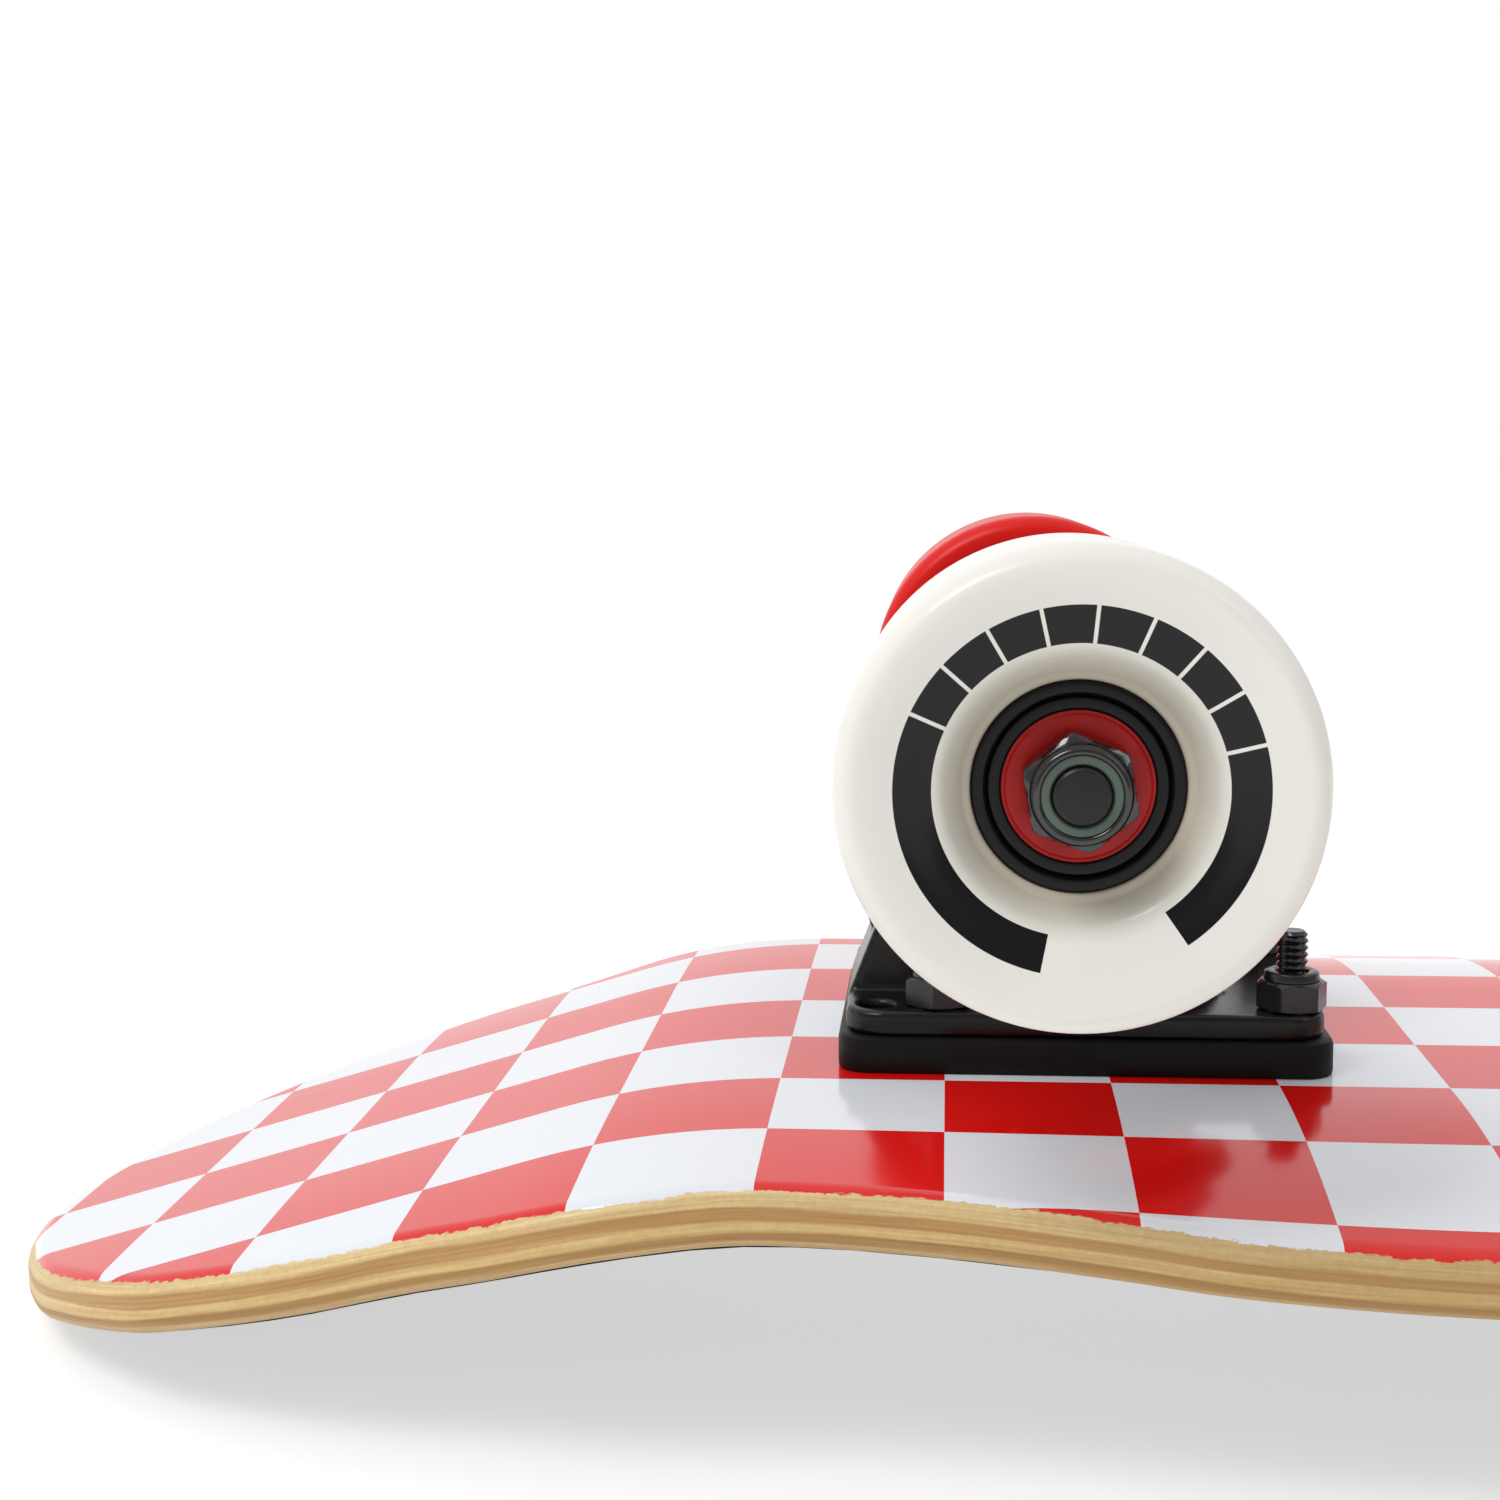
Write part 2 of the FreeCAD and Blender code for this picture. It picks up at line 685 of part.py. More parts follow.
def build_bushings(end):
    bore = "dims.bushing_bore_dia / 2"
    wide = "dims.bushing_dia / 2"
    deck_name = end + "_deck_side_bushing"
    high = "dims.deck_bushing_high"
    deck_side = turned(
        deck_name,
        [
            (bore, "0"),
            (wide + " - 1", "0"),
            (wide, high + " * 0.3"),
            (wide, high + " * 0.7"),
            (wide + " - 1", high),
            (bore, high),
        ],
        placed(end, on_kingpin(-size("ring_thick") / 2 - size("deck_bushing_high"))),
    )
    road_name = end + "_road_side_bushing"
    road_side = turned(
        road_name,
        [
            (bore, "0"),
            (wide + " - 1", "0"),
            (wide, "1.5"),
            ("dims.bushing_small_dia / 2", "dims.road_bushing_high"),
            (bore, "dims.road_bushing_high"),
        ],
        placed(end, on_kingpin(size("ring_thick") / 2)),
    )
    return [name_it(deck_side, deck_name), name_it(road_side, road_name)]


def build_bushing_washers(end):
    name = end + "_bushing_washers"
    deck_side = turned(
        name + "_deck_side",
        ring_profile("dims.big_washer_dia", "dims.kingpin_dia + 0.4", "0", "dims.big_washer_thick"),
        on_kingpin(-SEAT_DROP),
    )
    road_side = turned(
        name + "_road_side",
        ring_profile("dims.small_washer_dia", "dims.kingpin_dia + 0.4", "0", "dims.small_washer_thick"),
        on_kingpin(TOP_RISE - size("small_washer_thick")),
    )
    return name_it(together(name, [deck_side, road_side], truck_place(end)), name)


# ---------------------------------------------------------------- hanger and axle


def build_hanger(end):
    name = end + "_hanger"
    arms = [
        cone(
            "%s_arm_%s" % (name, side_name),
            "dims.hanger_mid_dia / 2",
            "dims.hanger_end_dia / 2",
            "dims.hanger_half",
            on_axle(side, 0),
        )
        for side_name, side in (("left", -1), ("right", 1))
    ]
    web = slab(
        name + "_web",
        [
            ("dims.pivot_x + 8.5", "dims.pivot_z + 8.5"),
            ("dims.pivot_x + 14.5", "dims.pivot_z + 5"),
            ("dims.ring_x - 15", "dims.ring_z + 1"),
            ("dims.ring_x - 12", "dims.ring_z + 8.5"),
            ("dims.ring_x - 11.5", "dims.axle_height - 6"),
            ("-dims.hanger_mid_dia / 2 + 1", "dims.axle_height - 2"),
        ],
        "dims.hanger_mid_dia + 3",
    )
    ring = cylinder(name + "_ring", "dims.ring_dia / 2", "dims.ring_thick", on_kingpin(-size("ring_thick") / 2))
    stem = cone(
        name + "_stem",
        "dims.pivot_stem_dia / 2",
        "dims.pivot_root_dia / 2",
        "dims.pivot_stem_end - 3",
        on_steer_axis(3),
    )
    ball = sphere(name + "_ball", "dims.pivot_ball_dia / 2", on_steer_axis(0))
    solid = joined(name + "_casting", arms + [web, ring, stem, ball])
    axle_bore = cylinder(
        name + "_axle_bore", "dims.axle_dia / 2", "dims.axle_length", on_axle(1, -size("axle_length") / 2)
    )
    hole = cylinder(
        name + "_ring_hole", "dims.ring_hole_dia / 2", "dims.ring_thick * 2", on_kingpin(-size("ring_thick"))
    )
    return name_it(drilled(name, solid, [axle_bore, hole], truck_place(end)), name)


def build_axle(end):
    name = end + "_axle"
    rim = "dims.axle_dia / 2"
    bevel = "dims.axle_chamfer"
    long = "dims.axle_length"
    profile = [
        ("0", "0"),
        ("%s - %s" % (rim, bevel), "0"),
        (rim, bevel),
        (rim, "%s - %s" % (long, bevel)),
        ("%s - %s" % (rim, bevel), long),
        ("0", long),
    ]
    return name_it(turned(name, profile, placed(end, on_axle(1, -size("axle_length") / 2))), name)


# Distances out from the truck's centre line along the axle.
INNER_BEARING = size("hanger_half") + size("speed_washer_thick")
OUTER_BEARING = INNER_BEARING + size("bearing_wide") + size("bearing_gap")
OUTER_WASHER = OUTER_BEARING + size("bearing_wide")
NUT_SEAT = OUTER_WASHER + size("speed_washer_thick")
SIDES = (("left", -1), ("right", 1))


def build_axle_furniture(end):
    """Everything on the axle that stays with it while the wheels turn."""
    axle_bore = "dims.axle_dia"
    washers, rings, spacers, nuts, inserts = [], [], [], [], []
    for side_name, side in SIDES:
        tag = "%s_%s" % (end, side_name)
        for place_name, distance in (("inner", size("hanger_half")), ("outer", OUTER_WASHER)):
            profile = ring_profile("dims.speed_washer_dia", axle_bore, "0", "dims.speed_washer_thick")
            washers.append(turned("%s_washer_%s" % (tag, place_name), profile, on_axle(side, distance)))
        for place_name, distance in (("inner", INNER_BEARING), ("outer", OUTER_BEARING)):
            profile = ring_profile("dims.bearing_inner_dia", axle_bore, "0", "dims.bearing_wide")
            rings.append(turned("%s_inner_ring_%s" % (tag, place_name), profile, on_axle(side, distance)))
        profile = ring_profile("dims.spacer_dia", axle_bore, "0", "dims.bearing_gap")
        spacers.append(turned(tag + "_spacer", profile, on_axle(side, INNER_BEARING + size("bearing_wide"))))
        collar = "dims.axle_nut_high + dims.axle_nut_collar"
        hexagon = hex_nut(tag + "_nut_hexagon", "dims.axle_nut_flats", "dims.axle_nut_high", axle_bore)
        rim = turned(
            tag + "_nut_collar",
            [
                ("dims.nylon_dia / 2", "dims.axle_nut_high - dims.nylon_sunk"),
                ("dims.axle_nut_flats / 2 - 0.4", "dims.axle_nut_high - dims.nylon_sunk"),
                ("dims.axle_nut_flats / 2 - 0.7", collar + " - 0.4"),
                ("dims.nylon_dia / 2 + 0.2", collar),
                ("dims.nylon_dia / 2", collar),
            ],
        )
        pocket = cylinder(
            tag + "_nut_pocket",
            "dims.nylon_dia / 2",
            "dims.axle_nut_high",
            Placement(Vector(0, 0, size("axle_nut_high") - size("nylon_sunk")), Rotation()),
        )
        hexagon_open = drilled(tag + "_nut_open", hexagon, [pocket])
        nuts.append(joined(tag + "_nut", [hexagon_open, rim], on_axle(side, NUT_SEAT)))
        profile = ring_profile("dims.nylon_dia", axle_bore, "dims.axle_nut_high - dims.nylon_sunk", collar + " - 0.2")
        inserts.append(turned(tag + "_insert", profile, on_axle(side, NUT_SEAT)))
    groups = [
        ("speed_washers", washers),
        ("bearing_inner_rings", rings),
        ("bearing_spacers", spacers),
        ("axle_nuts", nuts),
        ("axle_nut_inserts", inserts),
    ]
    return [
        name_it(together("%s_%s" % (end, word), pieces, truck_place(end)), "%s_%s" % (end, word))
        for word, pieces in groups
    ]


# ---------------------------------------------------------------- wheels


def wheel_place(end, side):
    """A wheel's frame. The nose truck is turned half round, so its own left is the board's right."""
    own_side = side if end == "tail" else -side
    return placed(end, on_axle(own_side, size("wheel_middle")))


def along_wheel(distance):
    """A distance out from the truck's centre line, as a height in the wheel's own frame."""
    return distance - size("wheel_middle")


def build_tyre(tag, place):
    name = tag + "_tyre"
    tread = "dims.wheel_dia / 2"
    core = "dims.core_dia / 2"
    profile = [
        (core, "dims.core_outer"),
        (core + " + 1.2", "dims.core_outer + 0.3"),
        (core + " + 4.2", "dims.core_outer + 3.6"),
        ("dims.lip_radius - 5.3", "dims.lip_half - 1.8"),
        ("dims.lip_radius - 1.8", "dims.lip_half - 0.2"),
        ("dims.lip_radius", "dims.lip_half"),
        (tread, "dims.tread_half"),
        (tread, "-dims.tread_half"),
        ("dims.lip_radius", "-dims.lip_half"),
        ("dims.lip_radius - 3", "-dims.lip_half"),
        ("dims.lip_radius - 6", "-dims.lip_half + 2"),
        (core + " + 1.5", "-dims.core_inner - 1"),
        (core, "-dims.core_inner"),
        (core, "-dims.core_flange_half"),
        ("dims.core_flange_dia / 2", "-dims.core_flange_half"),
        ("dims.core_flange_dia / 2", "dims.core_flange_half"),
        (core, "dims.core_flange_half"),
    ]
    return name_it(turned(name, profile, place), name)


def build_core(tag, place):
    name = tag + "_core"
    rim = "dims.core_dia / 2"
    seat = "dims.bearing_dia / 2"
    web = "dims.core_web_dia / 2"
    inner_seat = "%g" % along_wheel(INNER_BEARING + size("bearing_wide"))
    outer_seat = "%g" % along_wheel(OUTER_BEARING)
    profile = [
        (seat, "-dims.core_inner"),
        (rim, "-dims.core_inner"),
        (rim, "-dims.core_flange_half"),
        ("dims.core_flange_dia / 2", "-dims.core_flange_half"),
        ("dims.core_flange_dia / 2", "dims.core_flange_half"),
        (rim, "dims.core_flange_half"),
        (rim, "dims.core_outer"),
        (seat + " + 0.6", "dims.core_outer"),
        (seat, "dims.core_outer - 0.5"),
        (seat, outer_seat),
        (web, outer_seat),
        (web, inner_seat),
        (seat, inner_seat),
    ]
    return name_it(turned(name, profile, place), name)


def build_bearings(tag, place):
    """The parts of a wheel's two bearings that turn with the wheel."""
    rings, shields, balls = [], [], []
    for word, distance, shield_gap in (("inner", INNER_BEARING, 0), ("outer", OUTER_BEARING, 1)):
        low = along_wheel(distance)
        base = Placement(Vector(0, 0, low), Rotation())
        profile = ring_profile("dims.bearing_dia", "dims.bearing_race_dia", "0", "dims.bearing_wide")
        rings.append(turned("%s_outer_ring_%s" % (tag, word), profile, base))
        shield_low = shield_gap * (size("bearing_wide") - size("shield_thick"))
        face = Placement(Vector(0, 0, low + shield_low), Rotation())
        profile = ring_profile("dims.shield_dia", "dims.shield_hole_dia", "0", "dims.shield_thick")
        shields.append(turned("%s_shield_%s" % (tag, word), profile, face))
        for number in range(BALLS_IN_BEARING):
            angle = math.tau * number / BALLS_IN_BEARING
            centre = Vector(math.cos(angle), math.sin(angle), 0) * (size("ball_ring_dia") / 2)
            centre.z = low + size("bearing_wide") / 2
            balls.append(
                sphere(
                    "%s_ball_%s_%d" % (tag, word, number), "dims.ball_dia / 2", Placement(centre, Rotation())
                )
            )
    groups = (("bearing_outer_rings", rings), ("bearing_shields", shields), ("bearing_balls", balls))
    return [
        name_it(together("%s_%s" % (tag, word), pieces, place), "%s_%s" % (tag, word))
        for word, pieces in groups
    ]


# ---------------------------------------------------------------- the whole board

nodes = [build_deck(), build_grip_tape()]
for end in ("tail", "nose"):
    nodes += [build_riser(end), build_baseplate(end), build_pivot_cup(end)]
    nodes += [build_mounting_bolts(end), build_mounting_nuts(end)]
    nodes += [build_kingpin(end), build_kingpin_nut(end), build_bushing_washers(end)]
    nodes += build_bushings(end)
    nodes += [build_hanger(end), build_axle(end)]
    nodes += build_axle_furniture(end)
    for side_name, side in SIDES:
        tag = "%s_%s" % (end, side_name)
        place = wheel_place(end, side)
        nodes += [build_tyre(tag, place), build_core(tag, place)]
        nodes += build_bearings(tag, place)

doc.recompute()

for thing in doc.Objects:
    if "Invalid" in thing.State or "Error" in thing.State:
        raise RuntimeError("%s failed: %s" % (thing.Name, thing.State))
for node in nodes:
    if node.Shape.isNull() or not node.Shape.isValid():
        raise RuntimeError("%s has no valid shape" % node.Label)

os.makedirs("parts", exist_ok=True)
for node in nodes:
    node.Shape.exportStep("parts/%s.step" % node.Label)

whole = FreeCAD.BoundBox()
for node in nodes:
    whole.add(node.Shape.BoundBox)
print("nodes", len(nodes))
print("size", whole.XLength, whole.YLength, whole.ZLength, "low", whole.ZMin)
print("steer tilt", STEER_TILT, "print height", PRINT_Z)
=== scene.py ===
import math

import bmesh
import bpy
import numpy as np
from mathutils import Matrix, Vector


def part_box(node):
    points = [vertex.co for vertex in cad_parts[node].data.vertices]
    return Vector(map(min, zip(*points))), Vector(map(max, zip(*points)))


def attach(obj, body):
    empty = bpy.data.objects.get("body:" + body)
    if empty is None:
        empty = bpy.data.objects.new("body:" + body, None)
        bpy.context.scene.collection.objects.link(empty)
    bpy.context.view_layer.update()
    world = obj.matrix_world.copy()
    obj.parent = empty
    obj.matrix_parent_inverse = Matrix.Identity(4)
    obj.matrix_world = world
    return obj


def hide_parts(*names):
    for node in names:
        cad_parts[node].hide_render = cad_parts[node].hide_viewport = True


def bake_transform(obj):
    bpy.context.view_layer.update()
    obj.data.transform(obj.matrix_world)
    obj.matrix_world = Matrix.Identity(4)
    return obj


# A cruiser skateboard lying on its grip tape, wheels up, in its CAD model's own frame: +Z up to the
# wheels and +X from the tail to the nose. Lengths here are in millimetres, and MM turns them to metres.

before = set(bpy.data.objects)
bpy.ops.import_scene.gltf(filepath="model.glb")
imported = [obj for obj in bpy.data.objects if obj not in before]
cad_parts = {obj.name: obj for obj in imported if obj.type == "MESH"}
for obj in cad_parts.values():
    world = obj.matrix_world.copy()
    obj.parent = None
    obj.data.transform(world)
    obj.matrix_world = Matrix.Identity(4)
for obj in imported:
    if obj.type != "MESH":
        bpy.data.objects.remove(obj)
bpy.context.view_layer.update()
MM = 0.001


def box_mm(node):
    """A CAD node's lowest and highest corners."""
    low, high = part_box(node)
    return Vector(low) / MM, Vector(high) / MM


def middle(node):
    """The middle of a CAD node's box."""
    low, high = box_mm(node)
    return (low + high) / 2


DECK_TOP = box_mm("deck")[1]
PRINT_Z = DECK_TOP.z
HALF_LENGTH = DECK_TOP.x
DECK_THICK = 8.7
GRIP_Z = PRINT_Z - DECK_THICK
AXLE_X = middle("nose_axle").x
AXLE_Z = middle("nose_axle").z

# ---------------------------------------------------------------- meshes

# A shell is a list of points and a list of faces, in millimetres.
SHARP_ANGLE = 32
EDGE_SHARE = 0.45


def tidy_mesh(name, points, faces, sharp=SHARP_ANGLE):
    """A shell as a mesh in metres, smooth apart from its sharp edges."""
    mesh = bpy.data.meshes.new(name)
    mesh.from_pydata([Vector(p) * MM for p in points], [], faces)
    mesh.validate()
    mesh.update()
    mesh.shade_smooth()
    mesh.set_sharp_from_angle(angle=math.radians(sharp))
    return mesh


def add_piece(name, mesh, body, slot, node):
    """A piece in its slot's material that stands for one CAD node. With no body, it rides later."""
    thing = bpy.data.objects.new(name, mesh)
    bpy.context.scene.collection.objects.link(thing)
    mesh.materials.clear()
    mesh.materials.append(LOOKS[slot])
    if body is not None:
        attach(thing, body)
    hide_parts(node)
    return thing


def add_shell(name, shell, body, slot, node):
    """A piece made from a shell."""
    return add_piece(name, tidy_mesh(name, *shell), body, slot, node)


def join_shells(shells):
    """One point list and face list from several."""
    points, faces = [], []
    for shell_points, shell_faces in shells:
        shift = len(points)
        points += list(shell_points)
        faces += [tuple(i + shift for i in face) for face in shell_faces]
    return points, faces


def moved(shell, place):
    """A shell put in its place, with its faces still turned outward if the place mirrors it."""
    points, faces = shell
    points = [place @ Vector(p) for p in points]
    if place.to_3x3().determinant() < 0:
        faces = [tuple(reversed(f)) for f in faces]
    return points, faces


def soften(outline, radius, steps=5):
    """An open outline of (r, z[, own radius]) corners with each inner corner rounded off."""
    result = [tuple(outline[0][:2])]
    for before, corner, after in zip(outline, outline[1:], outline[2:]):
        own = corner[2] if len(corner) > 2 else radius
        here = Vector(corner[:2])
        back, on = Vector(before[:2]) - here, Vector(after[:2]) - here
        reach = min(own, back.length * EDGE_SHARE, on.length * EDGE_SHARE)
        if reach < 1e-4:
            result.append(tuple(here))
            continue
        start, end = here + back.normalized() * reach, here + on.normalized() * reach
        for step in range(steps + 1):
            t = step / steps
            result.append(tuple(start * (1 - t) ** 2 + here * 2 * t * (1 - t) + end * t * t))
    result.append(tuple(outline[-1][:2]))
    return result


def tube_faces(rings, count):
    """Faces between like closed rings of points that are listed one after another."""
    faces = []
    for ring in range(rings - 1):
        for step in range(count):
            a = ring * count + step
            b = ring * count + (step + 1) % count
            faces.append((a, b, b + count, a + count))
    return faces


def lathe(outline, turns=128, shape=None):
    """The outline turned about Z. shape(angle, r, z) may give another radius, as on a hexagon."""
    points = []
    for r, z in outline:
        for turn in range(turns):
            angle = math.tau * turn / turns
            radius = shape(angle, r, z) if shape else r
            points.append((radius * math.cos(angle), radius * math.sin(angle), z))
    return points, tube_faces(len(outline), turns)


def turned(outline, radius, turns, place, steps=5):
    """The outline with its corners rounded off, turned about Z and put in its place."""
    return moved(lathe(soften(outline, radius, steps), turns), place)


def hexagon(flats, start=0.0):
    """A radius function that clips a turned blank to a hexagon of this size across its flats."""

    def clip(angle, r, z):
        from_corner = (angle - start + math.pi / 6) % (math.pi / 3) - math.pi / 6
        return min(r, flats / 2 / math.cos(math.pi / 6 - abs(from_corner)))

    return clip


def hex_nut(flats, high, bore, bevel=0.9, start=0.0, base_bevel=0.4):
    """A hexagon nut on z = 0, its corners bevelled at both ends and its bore at each mouth."""
    tip = flats / 2 / math.cos(math.pi / 6)
    outline = [
        (bore / 2, 0.5),
        (bore / 2 + 0.5, 0.0),
        (flats / 2 - 0.2, 0.0),
        (tip - 0.1, base_bevel * 0.9),
        (tip + 0.05, base_bevel * 1.3),
        (tip + 0.05, high - bevel * 0.85),
        (tip - 0.35, high - bevel * 0.55),
        (flats / 2 - 0.25, high),
        (bore / 2 + 0.5, high),
        (bore / 2, high - 0.5),
        (bore / 2, 0.5),
    ]
    return lathe(soften(outline, 0.18, 3), 144, hexagon(flats, start))


def threaded(diameter, low, high, pitch=0.8, chamfer=0.6, turns=40):
    """A threaded shank from low to high, its end bevelled and closed."""
    root = diameter / 2 - pitch * 0.5
    outer = diameter / 2
    steps_per_pitch = 4
    crest_width = 1.35
    rings = max(int((high - low) / pitch * steps_per_pitch), 2)
    points = []
    for ring in range(rings + 1):
        z = low + (high - low) * ring / rings
        for turn in range(turns):
            share = (ring / steps_per_pitch + turn / turns) % 1.0
            wave = 1 - abs(2 * share - 1)
            radius = root + (outer - root) * min(wave * crest_width, 1.0)
            limit = outer - max(0.0, z - (high - chamfer))
            radius = min(radius, limit)
            angle = math.tau * turn / turns
            points.append((radius * math.cos(angle), radius * math.sin(angle), z))
    faces = tube_faces(rings + 1, turns)
    points.append((0, 0, high - 0.1))
    last = rings * turns
    for turn in range(turns):
        faces.append((last + turn, last + (turn + 1) % turns, len(points) - 1))
    return points, faces


def rounded_rectangle(length, width, corner, steps=8):
    """The plan points of a rectangle with round corners, anticlockwise."""
    points = []
    for number, (sx, sy) in enumerate(((1, 1), (-1, 1), (-1, -1), (1, -1))):
        for step in range(steps + 1):
            angle = math.pi / 2 * (number + step / steps)
            x = sx * (length / 2 - corner) + corner * math.cos(angle)
            y = sy * (width / 2 - corner) + corner * math.sin(angle)
            points.append((x, y))
    return points


def stacked(loops):
    """Skin over a pile of like loops of (x, y, z), closed with a face at each end."""
    count = len(loops[0])
    points = [point for loop in loops for point in loop]
    faces = tube_faces(len(loops), count)
    faces.append(tuple(reversed(range(count))))
    faces.append(tuple(range((len(loops) - 1) * count, len(loops) * count)))
    return points, faces


def welded(name, shell, gap):
    """A shell as a mesh in its own units, with points nearer than the gap made one, facing outward."""
    points, faces = shell
    mesh = bpy.data.meshes.new(name)
    mesh.from_pydata([Vector(p) for p in points], [], faces)
    work = bmesh.new()
    work.from_mesh(mesh)
    bmesh.ops.remove_doubles(work, verts=work.verts, dist=gap)
    bmesh.ops.recalc_face_normals(work, faces=work.faces)
    work.to_mesh(mesh)
    work.free()
    return mesh


def capped(shell):
    """A lathe shell whose first and last rings have no radius, closed up to one point there."""
    mesh = welded("cap_work", shell, 0.001)
    made = [tuple(v.co) for v in mesh.vertices], [tuple(p.vertices) for p in mesh.polygons]
    bpy.data.meshes.remove(mesh)
    return made


def bake_modifiers(thing):
    """Turns a piece's modifiers into its mesh."""
    bpy.context.view_layer.update()
    graph = bpy.context.evaluated_depsgraph_get()
    mesh = bpy.data.meshes.new_from_object(thing.evaluated_get(graph))
    mesh.name = thing.data.name
    thing.modifiers.clear()
    thing.data = mesh


def cut(thing, cutter_shell):
    """Takes a shell's volume out of a piece, then throws the cutter away."""
    cutter = bpy.data.objects.new("cutter", tidy_mesh("cutter", *cutter_shell))
    bpy.context.scene.collection.objects.link(cutter)
    modifier = thing.modifiers.new("cut", "BOOLEAN")
    modifier.operation = "DIFFERENCE"
    modifier.solver = "EXACT"
    modifier.use_self = True
    modifier.object = cutter
    bake_modifiers(thing)
    bpy.data.objects.remove(cutter)


def cast_copy(node, voxel, rounds):
    """A CAD node's shape with every edge run soft, as a casting's are."""
    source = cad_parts[node].data.copy()
    thing = bpy.data.objects.new(node + "_cast_work", source)
    bpy.context.scene.collection.objects.link(thing)
    remesh = thing.modifiers.new("remesh", "REMESH")
    remesh.mode = "VOXEL"
    remesh.voxel_size = voxel * MM
    smooth = thing.modifiers.new("smooth", "CORRECTIVE_SMOOTH")
    smooth.iterations = rounds
    smooth.smooth_type = "SIMPLE"
    smooth.use_only_smooth = True
    bake_modifiers(thing)
    mesh = thing.data
    bpy.data.objects.remove(thing)
    mesh.materials.clear()
    mesh.shade_smooth()
    return mesh


def paint_node(node, slot):
    """Gives a CAD node that stays in sight its slot's material."""
    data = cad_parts[node].data
    data.materials.clear()
    data.materials.append(LOOKS[slot])


def write_values(mesh, name, kind, values):
    """Stores a value for each point, for the materials to read."""
    layer = mesh.attributes.new(name, kind, "POINT")
    key = "vector" if kind == "FLOAT_VECTOR" else "value"
    layer.data.foreach_set(key, np.asarray(values, np.float32).ravel())


def vertex_array(mesh):
    """A mesh's points as an array, in millimetres."""
    points = np.zeros(len(mesh.vertices) * 3)
    mesh.vertices.foreach_get("co", points)
    return points.reshape(-1, 3) / MM


# ---------------------------------------------------------------- materials


class Paint:
    """A node material in the making."""

    def __init__(self, name, **sockets):
        self.material = bpy.data.materials.new(name)
        self.material.use_nodes = True
        self.tree = self.material.node_tree
        self.shader = self.tree.nodes["Principled BSDF"]
        for socket, value in sockets.items():
            self.shader.inputs[socket.replace("_", " ")].default_value = value

    def node(self, kind, **settings):
        made = self.tree.nodes.new(kind)
        for setting, value in settings.items():
            setattr(made, setting, value)
        return made

    def feed(self, socket, value):
        if isinstance(value, bpy.types.NodeSocket):
            self.tree.links.new(value, socket)
        else:
            socket.default_value = value

    def math(self, operation, *values, clamp=False):
        made = self.node("ShaderNodeMath", operation=operation, use_clamp=clamp)
        for socket, value in zip(made.inputs, values):
            self.feed(socket, value)
        return made.outputs[0]

    def mix(self, share, first, second):
        made = self.node("ShaderNodeMix", data_type="RGBA")
        self.feed(made.inputs[0], share)
        self.feed(made.inputs[6], first)
        self.feed(made.inputs[7], second)
        return made.outputs[2]

    def place(self, scale=(1, 1, 1)):
        """The piece's own coordinates in metres, stretched."""
        made = self.node("ShaderNodeMapping")
        made.inputs["Scale"].default_value = scale
        source = self.node("ShaderNodeTexCoord")
        self.tree.links.new(source.outputs["Object"], made.inputs["Vector"])
        return made.outputs[0]

    def attribute(self, name, output="Vector"):
        return self.node("ShaderNodeAttribute", attribute_name=name).outputs[output]

    def parts(self, vector):
        made = self.node("ShaderNodeSeparateXYZ")
        self.tree.links.new(vector, made.inputs[0])
        return made.outputs

    def along(self, x, y, depth, run, through):
        """Coordinates of laid wood: slow along the board and quick through its thickness."""
        made = self.node("ShaderNodeCombineXYZ")
        for socket, value, rate in zip(made.inputs, (x, y, depth), (run, run, through)):
            self.feed(socket, self.math("MULTIPLY", value, rate))
        return made.outputs[0]

    def noise(self, where, scale, detail=3.0, roughness=0.55):
        made = self.node("ShaderNodeTexNoise")
        self.tree.links.new(where, made.inputs["Vector"])
        made.inputs["Scale"].default_value = scale
        made.inputs["Detail"].default_value = detail
        made.inputs["Roughness"].default_value = roughness
        return made.outputs[0]

    def span(self, value, low, high, to_low=0.0, to_high=1.0):
        made = self.node("ShaderNodeMapRange")
        for socket, number in zip(made.inputs, (value, low, high, to_low, to_high)):
            self.feed(socket, number)
        return made.outputs[0]

    def ramp(self, value, stops):
        made = self.node("ShaderNodeValToRGB")
        self.feed(made.inputs[0], value)
        stones = made.color_ramp.elements
        while len(stones) < len(stops):
            stones.new(1.0)
        for stone, (spot, colour) in zip(stones, stops):
            stone.position = spot
            stone.color = (*colour, 1.0)
        return made.outputs[0]

    def bump(self, height, strength, distance=0.0002):
        made = self.node("ShaderNodeBump")
        made.inputs["Strength"].default_value = strength
        made.inputs["Distance"].default_value = distance
        self.tree.links.new(height, made.inputs["Height"])
        self.tree.links.new(made.outputs[0], self.shader.inputs["Normal"])

    def set(self, socket, value):
        self.feed(self.shader.inputs[socket], value)
        return self


def linear(*colour):
    """An sRGB colour given as 0 to 255, as Blender's linear colour."""
    shares = [channel / 255 for channel in colour]
    return tuple(c / 12.92 if c <= 0.04 else ((c + 0.055) / 1.055) ** 2.4 for c in shares)


def rgba(*colour):
    """The same with full opacity."""
    return (*linear(*colour), 1.0)


def moulded(name, colour, rough, grain=900.0, strength=0.15, lighter=None, **sockets):
    """Plastic, rubber or paint with a fine grain and slightly uneven sheen."""
    paint = Paint(name, **sockets)
    where = paint.place()
    broad = paint.noise(where, 45.0, 4.0)
    lighter = lighter or tuple(min(c * 1.35 + 3, 255) for c in colour)
    paint.set("Base Color", paint.mix(paint.span(broad, 0.35, 0.7), rgba(*colour), rgba(*lighter)))
    paint.set("Roughness", paint.span(broad, 0.3, 0.75, rough * 0.85, rough * 1.2))
    paint.bump(paint.noise(where, grain, 2.0), strength, 0.00015)
    return paint.material


